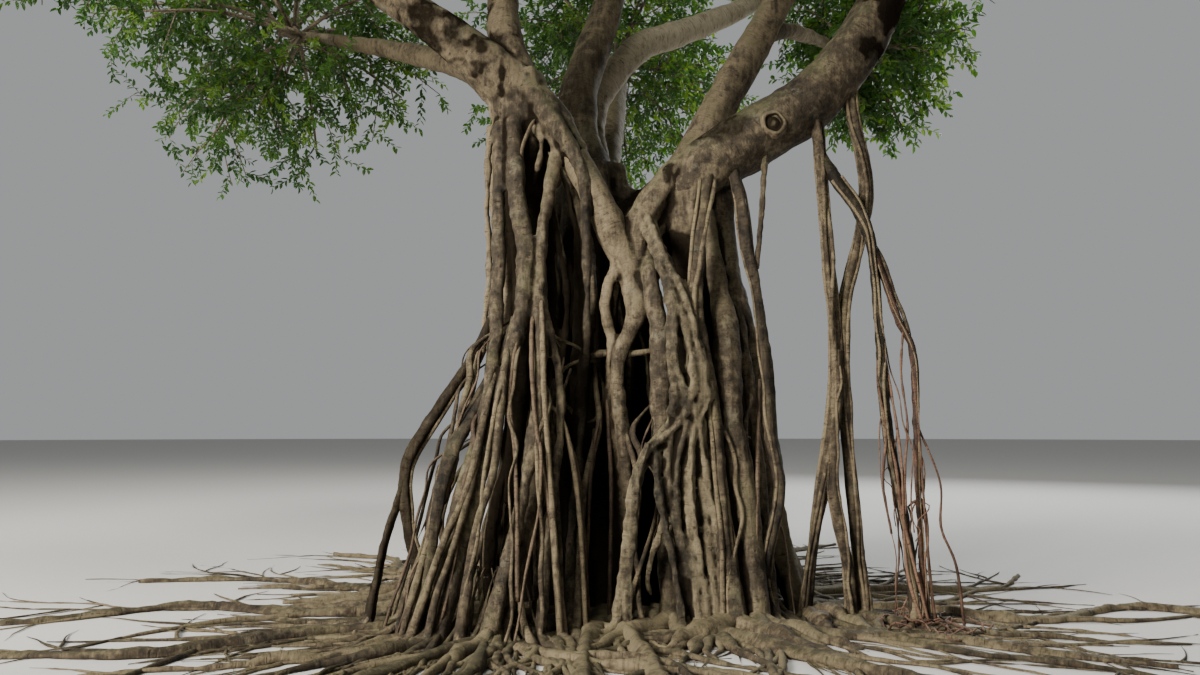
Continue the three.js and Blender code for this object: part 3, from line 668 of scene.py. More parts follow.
BOUGHS = {
    "cross_limb": Route(
        [
            (-0.69, -0.23, 4.6), (-0.4, -0.35, 4.12), (-0.09, -0.45, 3.59), (0.11, -0.47, 3.16),
            (0.2, -0.46, 2.85),
        ],
        [0.12, 0.128, 0.118, 0.14, 0.07],
    ),
    "right_bough": Route(
        [
            (0.76, -0.42, 3.27), (0.79, -0.43, 3.52), (0.97, -0.46, 3.75), (1.23, -0.5, 3.92),
            (1.77, -0.54, 4.27), (2.19, -0.54, 4.77), (2.48, -0.5, 5.3), (2.85, -0.44, 6.1),
            (3.5, -0.36, 6.8), (4.3, -0.28, 7.25),
        ],
        [0.11, 0.235, 0.256, 0.256, 0.242, 0.215, 0.19, 0.155, 0.115, BOUGH_TIP],
    ),
    "left_stem": Route(
        [
            (-0.73, -0.17, 4.45), (-0.85, -0.1, 5.0), (-0.9, -0.05, 5.5), (-1.0, -0.12, 6.3),
            (-1.35, -0.3, 7.5), (-1.85, -0.55, 8.7),
        ],
        [0.23, 0.155, 0.135, 0.125, 0.105, BOUGH_TIP],
    ),
    "left_bough": Route(
        [
            (-0.7, -0.19, 4.43), (-1.12, -0.29, 4.79), (-1.45, -0.35, 5.03), (-2.0, -0.42, 5.4),
            (-3.0, -0.48, 6.05), (-3.8, -0.44, 6.5), (-4.6, -0.38, 6.85),
        ],
        [0.23, 0.19, 0.17, 0.16, 0.135, 0.105, BOUGH_TIP],
    ),
    "second_right_bough": Route(
        [
            (0.08, 0.5, 3.1), (0.48, 0.45, 3.5), (0.86, 0.48, 4.02), (1.26, 0.55, 4.82), (1.62, 0.6, 5.45),
            (1.88, 0.54, 6.0), (2.25, 0.15, 7.3), (2.6, -0.35, 8.8),
        ],
        [0.24, 0.22, 0.195, 0.17, 0.15, 0.135, 0.11, BOUGH_TIP],
    ),
    "dark_bough": Route(
        [
            (-0.06, 0.62, 3.6), (-0.2, 0.72, 4.25), (-0.2, 0.82, 4.85), (-0.05, 0.92, 5.4), (0.1, 1.06, 6.0),
            (0.13, 1.5, 7.3), (0.04, 2.05, 8.7),
        ],
        [0.3, 0.215, 0.19, 0.17, 0.15, 0.115, BOUGH_TIP],
    ),
    "pale_bough": Route(
        [
            (0.0, 0.8, 3.7), (-0.11, 1.15, 4.45), (-0.06, 1.26, 4.9), (0.15, 1.35, 5.26), (0.44, 1.48, 5.61),
            (0.91, 1.78, 5.89), (1.54, 2.18, 6.3), (2.2, 2.7, 6.85), (2.8, 3.3, 7.4),
        ],
        [0.19, 0.165, 0.155, 0.15, 0.145, 0.138, 0.122, 0.1, BOUGH_TIP],
    ),
    "rear_bough": Route(
        [(0.0, 0.8, 3.4), (0.06, 1.5, 4.3), (0.15, 2.3, 5.2), (0.22, 3.3, 5.95), (0.22, 4.4, 6.5)],
        [0.22, 0.17, 0.145, 0.115, BOUGH_TIP],
    ),
    "left_rear_bough": Route(
        [(-0.12, 0.64, 3.5), (-0.65, 1.1, 4.6), (-1.45, 1.8, 5.45), (-2.5, 2.65, 6.05), (-3.35, 3.3, 6.45)],
        [0.2, 0.16, 0.14, 0.11, BOUGH_TIP],
    ),
    "front_left_bough": Route(
        [(-2.3, -0.44, 5.6), (-2.75, -1.3, 6.25), (-3.2, -2.4, 6.8), (-3.55, -3.2, 7.1)],
        [0.12, 0.105, 0.09, BOUGH_TIP],
    ),
    "front_bough": Route(
        [(-0.94, -0.09, 5.95), (-0.85, -1.1, 6.6), (-0.6, -2.5, 7.2), (-0.35, -3.9, 7.6)],
        [0.115, 0.105, 0.09, BOUGH_TIP],
    ),
    "front_right_bough": Route(
        [(2.75, -0.46, 5.85), (3.05, -1.5, 6.5), (3.35, -2.6, 7.05), (3.6, -3.35, 7.35)],
        [0.125, 0.105, 0.09, BOUGH_TIP],
    ),
    "top_bough": Route(
        [(0.12, 1.35, 6.85), (0.28, 0.95, 7.9), (0.26, 0.55, 9.1), (0.15, 0.25, 10.2)],
        [0.11, 0.095, 0.085, BOUGH_TIP],
    ),
    "top_front_bough": Route(
        [(-0.7, -2.1, 7.05), (-0.42, -2.5, 8.0), (-0.1, -2.85, 9.0)], [0.09, 0.082, BOUGH_TIP]
    ),
    "low_right_bough": Route(
        [(1.56, 0.6, 5.35), (1.98, 1.08, 5.6), (2.48, 1.75, 5.76)], [0.095, 0.078, 0.06]
    ),
}
PALE_BOUGHS = ("pale_bough", "low_right_bough")


def dress_boughs():
    """Each bough as a closed tube with a slightly fluted section. A pale bough turns pale over its first
    third."""
    for key, (name, route) in enumerate(BOUGHS.items()):
        shell = Shell()
        tube(shell, route, seeded(key), **BOUGH_TUBE)
        skin, slot = (PALE_BARK, "pale_bark") if name in PALE_BOUGHS else (BARK, "bark")
        bark_piece(
            name + "_bark", shell, skin, [name], slot,
            pale=lambda _, along: np.clip(3 * along / route.length - 0.35, 0, 1),
            # Dark wet patches, and painted shade on the left bough and the dark bough.
            hollow=lambda points, _: wet_and_shaded(points),
        )


def turned(x, y, reach_x, reach_y, angle, height):
    """Points at these angles round a middle, on ellipses that reach this far across and in depth."""
    return np.stack([x + reach_x * np.cos(angle), y + reach_y * np.sin(angle), height], axis=-1)


def root_curtain(rings, count, thickness, drift, key, start=0.0, sweep=2 * math.pi):
    """Roots round a set of rings, from the collar to the ground: each keeps its bearing, drifts and
    wanders."""
    x, y, z, rx, ry = np.array(rings).T
    levels = np.arange(len(rings))
    routes = []
    for i in range(count):
        angle = start + sweep * (i + 0.4 * swing(key + i)) / count
        angle = angle + drift * swing(key + 40 + i) * levels / levels[-1]
        angle = angle + 0.16 * swing(key + 7 * i + 13 * levels)
        out = 0.96 + 0.1 * swing(key + 11 * i + 17 * levels)
        points = turned(x, y, rx * out, ry * out, angle, z)
        thick = thickness * (0.55 + 0.9 * seeded(key + 80 + i))
        end = np.abs(2 * levels / levels[-1] - 1)
        routes.append(Route(points, thick * (0.85 + 0.4 * end**3)))
    return routes


def front_roots(rings, roots):
    """Roots that show in front: on each ring at its middle plus share * reach across and -sqrt(1 -
    share^2) * reach in depth. One that starts below the first ring leaves the point it grew from."""
    routes = []
    for grown_from, radii, across in roots:
        x, y, z, rx, ry = np.array(rings[len(rings) - len(across) :]).T
        share = np.array(across)
        points = np.stack([x + rx * share, y - ry * np.sqrt(1 - share**2), z], axis=-1)
        if grown_from:
            points = np.vstack([grown_from, points])
        routes.append(Route(points, radii))
    return routes


BELOW_GROUND = -0.12
BACK_HALF = {"start": -0.45, "sweep": 4.04}


def skin_shell(routes, collars):
    """A shell of the routes' tubes and of the boughs' collars: each bough's first stretch, a little
    thicker there."""
    shell = Shell()
    for key, route in enumerate(routes):
        tube(shell, route, 0.0, flutes=(3, 0.10, 2.0 + key % 5), **STRAND_TUBE)
    for name, share, grown in collars:
        places = np.linspace(0, share, 12)
        extra = np.linspace(grown, -0.02, 12)
        route = BOUGHS[name]
        stub = Route(route.at(places), route.radius(places) + extra)
        tube(shell, stub, 0.0, **COLLAR_TUBE)
    return shell


def bark_sources(routes, collars):
    """What the bark of a skin follows: each root with its own tone and start, and each bough as its own
    tube has them, so the two agree where they meet."""
    sources = [(route, 3.7 * key, seeded(50 + key)) for key, route in enumerate(routes)]
    names = list(BOUGHS)
    return sources + [(BOUGHS[name], 0.0, seeded(names.index(name))) for name, _, _ in collars]


TRUNK_CORE = Route(
    [(0, 0.3, BELOW_GROUND), (0, 0.33, 0.35), (-0.02, 0.4, 1.4), (-0.05, 0.5, 2.8), (-0.08, 0.64, 4.0)],
    [0.9, 0.69, 0.52, 0.45, 0.33],
)
TRUNK_RINGS = [
    (-0.06, 0.58, 3.75, 0.3, 0.26), (-0.04, 0.52, 2.9, 0.5, 0.48), (-0.02, 0.45, 1.9, 0.64, 0.64),
    (0.0, 0.4, 0.9, 0.86, 0.9), (0.0, 0.42, BELOW_GROUND, 1.25, 1.35),
]
# Where the trunk faces the columns, as rings about a middle in front of it: inside them the trunk's bark is
# painted in shade.
TRUNK_FRONT = [(0.0, -0.6, 3.6, 1.0, 1.0), (0.0, -0.7, 2.0, 1.2, 1.25), (0.0, -0.75, BELOW_GROUND, 1.4, 1.3)]
LEFT_NECK = Route(
    [
        (-0.74, -0.5, 0.9), (-0.68, -0.35, 1.7), (-0.66, -0.2, 2.7), (-0.68, -0.14, 3.4), (-0.69, -0.13, 3.9),
        (-0.69, -0.17, 4.15), (-0.7, -0.19, 4.3), (-0.74, -0.17, 4.6),
    ],
    [0.05, 0.09, 0.12, 0.16, 0.19, 0.235, 0.27, 0.265],
)
LEFT_RINGS = [
    (-0.68, -0.19, 4.15, 0.3, 0.15), (-0.57, -0.24, 3.5, 0.42, 0.27), (-0.52, -0.33, 2.7, 0.43, 0.37),
    (-0.62, -0.52, 1.8, 0.5, 0.46), (-0.78, -0.74, 0.8, 0.57, 0.58), (-0.86, -0.9, BELOW_GROUND, 0.7, 0.76),
]
LEFT_FRONT = [
    (None, [0.038, 0.03, 0.032, 0.036, 0.04, 0.05], [-0.95, -0.96, -0.98, -0.8, -0.78, -0.72]),
    (None, [0.07, 0.058, 0.06, 0.056, 0.045, 0.05], [-0.62, -0.68, -0.75, -0.5, -0.54, -0.54]),
    (None, [0.085, 0.085, 0.076, 0.066, 0.058, 0.07], [-0.22, -0.31, -0.2, -0.26, -0.34, -0.42]),
    ((-0.48, -0.7, 2.6), [0.04, 0.036, 0.04, 0.046], [0.62, 0.72, 0.6]),
]

# Roots that fork from the neck's right side: one in front of the cross limb, one beside it, and a stub.
LEFT_FORKS = [
    Route(
        [
            (-0.6, -0.3, 4.33), (-0.47, -0.42, 4.22), (-0.34, -0.5, 4.02), (-0.17, -0.56, 3.69),
            (-0.12, -0.57, 3.37), (-0.11, -0.55, 2.95), (-0.11, -0.5, 2.45), (-0.13, -0.53, 1.8),
            (-0.22, -0.85, 0.8), (-0.23, -1.18, BELOW_GROUND),
        ],
        [0.085, 0.09, 0.078, 0.055, 0.046, 0.042, 0.038, 0.038, 0.044, 0.056],
    ),
    Route(
        [
            (-0.58, -0.28, 4.3), (-0.47, -0.4, 4.14), (-0.37, -0.46, 3.9), (-0.43, -0.5, 3.5),
            (-0.485, -0.6, 3.05), (-0.494, -0.7, 2.7), (-0.47, -0.96, 1.8), (-0.61, -1.29, 0.8),
            (-0.825, -1.66, BELOW_GROUND),
        ],
        [0.07, 0.075, 0.064, 0.056, 0.055, 0.054, 0.054, 0.056, 0.07],
    ),
    Route(
        [
            (-0.58, -0.3, 4.2), (-0.54, -0.4, 4.06), (-0.5, -0.42, 3.92), (-0.53, -0.4, 3.76),
            (-0.57, -0.3, 3.6),
        ],
        [0.05, 0.032, 0.03, 0.034, 0.03],
    ),
]
RIGHT_STEM = Route(
    [
        (0.9, -0.2, BELOW_GROUND), (0.9, -0.22, 0.9), (0.8, -0.24, 1.9), (0.77, -0.28, 2.6),
        (0.79, -0.33, 3.05), (0.83, -0.4, 3.45),
    ],
    [0.36, 0.27, 0.22, 0.19, 0.175, 0.17],
)
RIGHT_ARM = Route(
    [
        (0.88, -0.44, 3.84), (0.66, -0.42, 3.68), (0.4, -0.44, 3.33), (0.31, -0.46, 3.09),
        (0.29, -0.47, 2.88), (0.3, -0.47, 2.67), (0.31, -0.5, 2.47), (0.22, -0.52, 2.27),
        (0.15, -0.54, 2.03), (0.15, -0.56, 1.74), (0.2, -0.56, 1.34), (0.24, -0.56, 0.46),
        (0.25, -0.57, BELOW_GROUND),
    ],
    [0.07, 0.15, 0.14, 0.13, 0.125, 0.118, 0.1, 0.07, 0.056, 0.062, 0.07, 0.07, 0.1],
)
RIGHT_RINGS = [
    (0.84, -0.425, 3.5, 0.16, 0.11), (0.76, -0.38, 3.1, 0.33, 0.2), (0.61, -0.35, 2.7, 0.54, 0.32),
    (0.69, -0.32, 2.2, 0.61, 0.44), (0.76, -0.29, 1.5, 0.63, 0.54), (0.84, -0.27, 0.8, 0.65, 0.64),
    (0.92, -0.28, BELOW_GROUND, 0.75, 0.79),
]
RIGHT_FRONT = [
    ((0.4, -0.45, 3.0), [0.09, 0.076, 0.082, 0.084, 0.08, 0.095], [-0.35, -0.34, -0.44, -0.5, -0.5]),
    ((0.69, -0.38, 2.75), [0.11, 0.1, 0.11, 0.11, 0.14], [0.14, 0.1, 0.13, 0.11]),
    (None, [0.06, 0.06, 0.082, 0.118, 0.128, 0.108, 0.125], [0.1, 0.5, 0.66, 0.54, 0.42, 0.46, 0.36]),
    (None, [0.05, 0.042, 0.046, 0.046, 0.048, 0.05, 0.06], [0.7, 0.85, 0.9, 0.8, 0.78, 0.7, 0.55]),
    ((1.04, -0.43, 2.7), [0.045, 0.042, 0.048, 0.056, 0.105], [0.97, 0.97, 0.98, 0.93]),
]
# The big bough's round foot, how the cross limb's end grows into the arm, and the root that hangs there.
RIGHT_FOOT = Route(
    [(0.76, -0.35, 2.9), (0.75, -0.38, 3.1), (0.76, -0.42, 3.32), (0.8, -0.43, 3.55)],
    [0.12, 0.15, 0.19, 0.23],
)
RIGHT_LINK = Route(
    [(0.02, -0.46, 3.38), (0.12, -0.47, 3.16), (0.2, -0.47, 2.95), (0.28, -0.47, 2.72), (0.3, -0.46, 2.5)],
    [0.08, 0.135, 0.125, 0.1, 0.06],
)
RIGHT_HANGER = Route(
    [
        (0.2, -0.44, 2.95), (0.14, -0.46, 2.86), (0.07, -0.48, 2.68), (0.05, -0.48, 2.5), (0.1, -0.47, 2.25),
        (0.09, -0.46, 2.0), (0.09, -0.5, 1.5), (0.14, -0.55, 0.8), (0.16, -0.65, BELOW_GROUND),
    ],
    [0.05, 0.055, 0.054, 0.054, 0.05, 0.046, 0.045, 0.048, 0.065],
)

# The crossing limb's collar goes back along the bough that it leaves.
CROSS_LIMB_HEEL = Route(
    [
        (-1.5, -0.36, 5.06), (-1.12, -0.3, 4.79), (-0.75, -0.26, 4.52), (-0.42, -0.33, 4.22),
        (-0.2, -0.4, 3.85),
    ],
    [0.13, 0.16, 0.178, 0.14, 0.12],
)


# The first stretch of each bough that a skin takes in: (bough, share of its length, how much thicker).
TRUNK_COLLARS = [
    ("second_right_bough", 0.28, 0.04), ("dark_bough", 0.25, 0.03), ("pale_bough", 0.3, 0.03),
    ("rear_bough", 0.3, 0.05), ("left_rear_bough", 0.25, 0.05),
]
LEFT_COLLARS = [("left_bough", 0.3, 0.03), ("left_stem", 0.3, 0.02), ("cross_limb", 0.9, 0.012)]
RIGHT_COLLARS = [("right_bough", 0.35, 0.012)]


def dress_columns():
    """The trunk and the two root columns, each one skin over its stem, its roots and its boughs' collars.
    Returns the roots of each, for what grows on from their feet."""
    trunk_roots = root_curtain(TRUNK_RINGS, count=18, thickness=0.105, drift=0.35, key=11, **BACK_HALF)
    trunk = Shell()
    tube(trunk, TRUNK_CORE, 0.0, **CORE_TUBE)
    trunk.add(*skin_shell(trunk_roots, TRUNK_COLLARS).arrays()[:3], 0.0)
    sources = bark_sources([TRUNK_CORE, *trunk_roots], TRUNK_COLLARS)
    mesh = grown_together("trunk_bark", trunk, sources, SKIN_TRUNK, 3, COLUMN_LUMPS, TRUNK_FRONT)
    piece(mesh, [BARK], ["trunk"])

    left_roots = LEFT_FORKS[:2] + front_roots(LEFT_RINGS, LEFT_FRONT)
    left_roots += root_curtain(LEFT_RINGS, count=9, thickness=0.062, drift=0.4, key=211, start=0.1, sweep=2.9)
    routes = [LEFT_NECK, LEFT_FORKS[2], *left_roots]
    left = skin_shell(routes, LEFT_COLLARS)
    tube(left, CROSS_LIMB_HEEL, 0.0, **COLLAR_TUBE)
    sources = bark_sources(routes, LEFT_COLLARS)
    mesh = grown_together("left_root_column_bark", left, sources, SKIN_LEFT, 2, COLUMN_LUMPS, LEFT_RINGS)
    piece(mesh, [BARK], ["left_root_column"])

    right_roots = [RIGHT_HANGER, *front_roots(RIGHT_RINGS, RIGHT_FRONT)]
    right_roots += root_curtain(RIGHT_RINGS, count=10, thickness=0.082, drift=0.45, key=421, **BACK_HALF)
    routes = [RIGHT_STEM, RIGHT_ARM, RIGHT_LINK, RIGHT_FOOT, *right_roots]
    right = skin_shell(routes, RIGHT_COLLARS)
    sources = bark_sources(routes, RIGHT_COLLARS)
    cross_limb_tone = seeded(0)
    sources[2] = (RIGHT_LINK, 0.0, cross_limb_tone)
    mesh = grown_together("right_root_column_bark", right, sources, SKIN_RIGHT, 2, COLUMN_LUMPS, RIGHT_RINGS)
    piece(mesh, [BARK], ["right_root_column"])
    return trunk_roots, left_roots, right_roots


AERIAL_ROOTS = {
    "hanging_root_inner": Route(
        [
            (1.85, -0.54, 4.45), (1.805, -0.6, 4.13), (1.83, -0.64, 3.7), (1.87, -0.64, 2.97),
            (1.91, -0.64, 2.3), (1.89, -0.63, 1.65), (1.8, -0.64, 1.15), (1.69, -0.64, 0.55),
            (1.6, -0.62, BELOW_GROUND),
        ],
        [0.062, 0.045, 0.041, 0.036, 0.042, 0.046, 0.042, 0.036, 0.044],
    ),
    "hanging_root_middle": Route(
        [
            (1.93, -0.665, 2.15), (1.92, -0.68, 1.74), (1.87, -0.69, 1.34), (1.86, -0.7, 0.99),
            (1.905, -0.7, 0.7), (1.96, -0.7, 0.4), (1.98, -0.7, BELOW_GROUND),
        ],
        [0.026, 0.032, 0.034, 0.038, 0.038, 0.036, 0.046],
    ),
    "hanging_root_outer": Route(
        [
            (2.11, -0.51, 4.65), (2.12, -0.56, 4.18), (2.19, -0.58, 3.78), (2.21, -0.6, 3.44),
            (2.14, -0.6, 3.05), (2.05, -0.6, 2.7), (1.995, -0.6, 2.35), (2.0, -0.6, 1.5),
            (2.03, -0.61, 1.0), (2.06, -0.62, 0.5), (2.12, -0.62, BELOW_GROUND),
        ],
        [0.062, 0.044, 0.041, 0.045, 0.04, 0.044, 0.046, 0.043, 0.041, 0.044, 0.064],
    ),
    "hanging_root_branch": Route(
        [
            (1.835, -0.64, 3.76), (1.97, -0.7, 3.5), (2.09, -0.72, 3.32), (2.19, -0.73, 3.06),
            (2.215, -0.745, 2.8), (2.24, -0.755, 2.3), (2.255, -0.77, 1.7), (2.32, -0.78, 1.16),
            (2.39, -0.78, 0.8), (2.425, -0.79, 0.37), (2.45, -0.8, BELOW_GROUND),
        ],
        [0.044, 0.05, 0.044, 0.042, 0.032, 0.034, 0.043, 0.04, 0.036, 0.034, 0.052],
    ),
    "hanging_root_far": Route(
        [
            (2.2, -0.735, 3.01), (2.3, -0.76, 2.69), (2.4, -0.78, 2.35), (2.49, -0.8, 2.13),
            (2.495, -0.8, 1.61), (2.49, -0.82, 0.8), (2.52, -0.84, BELOW_GROUND),
        ],
        [0.03, 0.028, 0.028, 0.026, 0.024, 0.022, 0.034],
    ),
    "bough_root_front": Route(
        [
            (0.95, -0.5, 3.7), (0.87, -0.7, 3.46), (0.8, -0.79, 3.02), (0.762, -0.85, 2.5),
            (0.81, -0.9, 2.13), (0.88, -0.93, 1.74), (0.93, -0.98, 1.0), (0.96, -1.08, BELOW_GROUND),
        ],
        [0.078, 0.056, 0.053, 0.052, 0.046, 0.044, 0.046, 0.064],
    ),
    "bough_root_side": Route(
        [
            (1.11, -0.5, 3.78), (1.125, -0.69, 3.52), (1.165, -0.75, 3.25), (1.18, -0.78, 2.98),
            (1.24, -0.79, 2.7), (1.275, -0.79, 2.38), (1.33, -0.79, 1.94), (1.345, -0.8, 1.5),
            (1.41, -0.82, 1.07), (1.35, -0.85, 0.75), (1.27, -0.87, 0.48), (1.21, -0.88, BELOW_GROUND),
        ],
        [0.06, 0.04, 0.044, 0.048, 0.038, 0.042, 0.05, 0.05, 0.046, 0.04, 0.044, 0.06],
    ),
    "bough_root_thin": Route(
        [(1.41, -0.5, 3.93), (1.345, -0.72, 3.58), (1.31, -0.77, 3.23), (1.255, -0.795, 2.79)],
        [0.034, 0.022, 0.02, 0.02],
    ),
    "left_prop_root": Route(
        [
            (-0.86, -0.56, 2.42), (-1.06, -0.65, 2.03), (-1.32, -0.78, 1.59), (-1.48, -0.84, 1.31),
            (-1.52, -0.86, 1.07), (-1.48, -0.86, 0.72), (-1.4, -0.86, 0.39), (-1.34, -0.88, BELOW_GROUND),
        ],
        [0.066, 0.052, 0.05, 0.046, 0.042, 0.04, 0.042, 0.056],
    ),
    "left_prop_fork": Route(
        [(-1.52, -0.86, 1.11), (-1.64, -0.88, 0.72), (-1.695, -0.9, 0.45), (-1.79, -0.92, BELOW_GROUND)],
        [0.034, 0.032, 0.03, 0.044],
    ),
    "front_prop_root_a": Route(
        [
            (-0.7, -0.7, 2.33), (-0.82, -0.76, 1.98), (-1.04, -0.98, 1.52), (-1.15, -1.1, 1.24),
            (-1.2, -1.18, 0.97), (-1.225, -1.26, 0.68), (-1.25, -1.37, 0.33), (-1.33, -1.48, BELOW_GROUND),
        ],
        [0.05, 0.058, 0.058, 0.052, 0.042, 0.036, 0.042, 0.07],
    ),
    "front_prop_root_b": Route(
        [
            (-0.33, -0.78, 1.9), (-0.45, -0.86, 1.45), (-0.52, -1.0, 1.04), (-0.59, -1.16, 0.69),
            (-0.67, -1.32, 0.39), (-0.77, -1.5, BELOW_GROUND),
        ],
        [0.04, 0.054, 0.064, 0.064, 0.07, 0.105],
    ),
    "knotted_root": Route(
        [
            (0.39, -0.5, 3.27), (0.45, -0.7, 3.02), (0.545, -0.83, 2.73), (0.66, -0.91, 2.45),
            (0.725, -0.95, 2.12), (0.74, -0.97, 1.84), (0.66, -1.0, 1.62), (0.52, -1.01, 1.47),
            (0.355, -1.045, 1.31), (0.245, -1.085, 1.01), (0.205, -1.125, 0.65),
            (0.11, -1.19, BELOW_GROUND),
        ],
        [0.07, 0.064, 0.07, 0.075, 0.058, 0.085, 0.08, 0.062, 0.05, 0.042, 0.042, 0.058],
    ),
}

# Parts of the knotted root that only its skin has: a second cord with a slit between the two, and its legs.
KNOTTED_LOBES = [
    Route(
        [
            (0.54, -0.86, 2.7), (0.57, -0.93, 2.45), (0.565, -0.96, 2.2), (0.575, -0.98, 1.98),
            (0.61, -1.0, 1.78), (0.57, -1.01, 1.6),
        ],
        [0.045, 0.055, 0.05, 0.058, 0.075, 0.06],
    ),
    Route(
        [
            (0.65, -0.8, 2.7), (0.71, -0.86, 2.41), (0.78, -0.92, 2.12), (0.81, -0.95, 1.87),
            (0.79, -0.98, 1.68), (0.7, -1.0, 1.54),
        ],
        [0.04, 0.04, 0.044, 0.05, 0.055, 0.05],
    ),
    Route(
        [
            (0.59, -1.0, 1.65), (0.52, -1.02, 1.33), (0.51, -1.02, 1.01), (0.44, -1.04, 0.7),
            (0.36, -1.06, 0.44), (0.38, -1.0, 0.26),
        ],
        [0.05, 0.036, 0.032, 0.034, 0.03, 0.02],
    ),
    Route(
        [
            (0.67, -1.02, 1.57), (0.58, -1.02, 1.22), (0.58, -1.02, 0.85), (0.62, -1.04, 0.54),
            (0.66, -1.08, -0.1),
        ],
        [0.055, 0.04, 0.045, 0.045, 0.06],
    ),
    Route(
        [
            (0.71, -1.0, 1.54), (0.68, -1.01, 1.14), (0.7, -1.02, 0.77), (0.73, -1.04, 0.44),
            (0.77, -1.1, -0.1),
        ],
        [0.06, 0.045, 0.05, 0.055, 0.075],
    ),
    Route(
        [
            (0.37, -1.08, 1.41), (0.29, -1.1, 1.12), (0.25, -1.12, 0.73), (0.21, -1.16, 0.4),
            (0.2, -1.24, -0.1),
        ],
        [0.034, 0.03, 0.03, 0.032, 0.045],
    ),
    Route(
        [
            (0.72, -0.98, 1.7), (0.76, -0.96, 1.42), (0.82, -0.94, 1.02), (0.86, -0.96, 0.59),
            (0.91, -1.02, -0.1),
        ],
        [0.075, 0.06, 0.065, 0.08, 0.11],
    ),
    Route(
        [
            (0.42, -1.04, 1.38), (0.45, -1.06, 1.0), (0.53, -1.09, 0.6), (0.58, -1.12, 0.28),
            (0.62, -1.18, -0.1),
        ],
        [0.035, 0.03, 0.028, 0.03, 0.045],
    ),
    Route([(0.78, -0.93, 1.95), (0.82, -0.96, 1.8), (0.8, -0.98, 1.66)], [0.04, 0.055, 0.04]),
]
KNOTTED_LEGS = KNOTTED_LOBES[3:7]

# Thin roots that hang, cling or stand in front: reddish ones first, then grey ones. (radius, points)
RED_ROOTS = [
    (0.017, [(-0.62, -0.5, 2.75), (-0.65, -0.84, 2.29), (-0.69, -1.05, 1.74),
             (-0.63, -1.19, 1.26), (-0.58, -1.5, 0.3)]),
    (0.018, [(-0.52, -0.5, 2.7), (-0.54, -0.86, 2.28), (-0.5, -1.07, 1.66),
             (-0.37, -1.2, 0.87), (-0.24, -1.36, 0)]),
    (0.013, [(-0.3, -0.45, 2.1), (-0.34, -0.77, 1.67), (-0.27, -0.82, 1.5),
             (-0.15, -0.9, 1.04), (-0.08, -0.98, 0)]),
    (0.016, [(0.06, -0.3, 1.95), (0.06, -0.5, 1.75), (0.07, -0.54, 1.5),
             (0.09, -0.64, 1.02), (0.07, -0.8, 0)]),
    (0.014, [(0.02, -0.3, 1.75), (-0.01, -0.58, 1.57), (-0.05, -0.66, 1.36),
             (-0.08, -0.76, 1.03), (-0.12, -1.0, 0)]),
    (0.017, [(1.3, -0.6, 1.91), (1.25, -0.77, 1.37), (1.22, -0.87, 0.96),
             (1.19, -0.98, 0.46), (1.2, -1.1, 0)]),
]
# Fox-red roots that hang round the outermost ones.
FOX_ROOTS = [
    (0.013, [(2.23, -0.76, 2.5), (2.26, -0.8, 1.6), (2.32, -0.82, 1.2), (2.36, -0.84, 0.8), (2.5, -0.95, 0)]),
    (0.012, [(2.28, -0.76, 2.1), (2.36, -0.82, 1.3), (2.36, -0.84, 0.8), (2.36, -0.9, 0.4), (2.44, -1.0, 0)]),
    (0.011, [(2.42, -0.79, 2.3), (2.39, -0.8, 1.95), (2.42, -0.82, 1.55),
             (2.39, -0.82, 1.2), (2.38, -0.83, 0.85)]),
    (0.011, [(2.46, -0.79, 2.28), (2.5, -0.82, 1.6), (2.52, -0.83, 1.1),
             (2.54, -0.85, 0.5), (2.56, -0.9, 0)]),
    (0.010, [(2.5, -0.8, 1.55), (2.66, -0.82, 1.1), (2.65, -0.84, 0.75),
             (2.75, -0.86, 0.45), (2.78, -0.9, 0)]),
    (0.009, [(2.24, -0.75, 2.2), (2.2, -0.8, 1.9), (2.25, -0.82, 1.5),
             (2.21, -0.84, 1.1), (2.26, -0.85, 0.7)]),
]
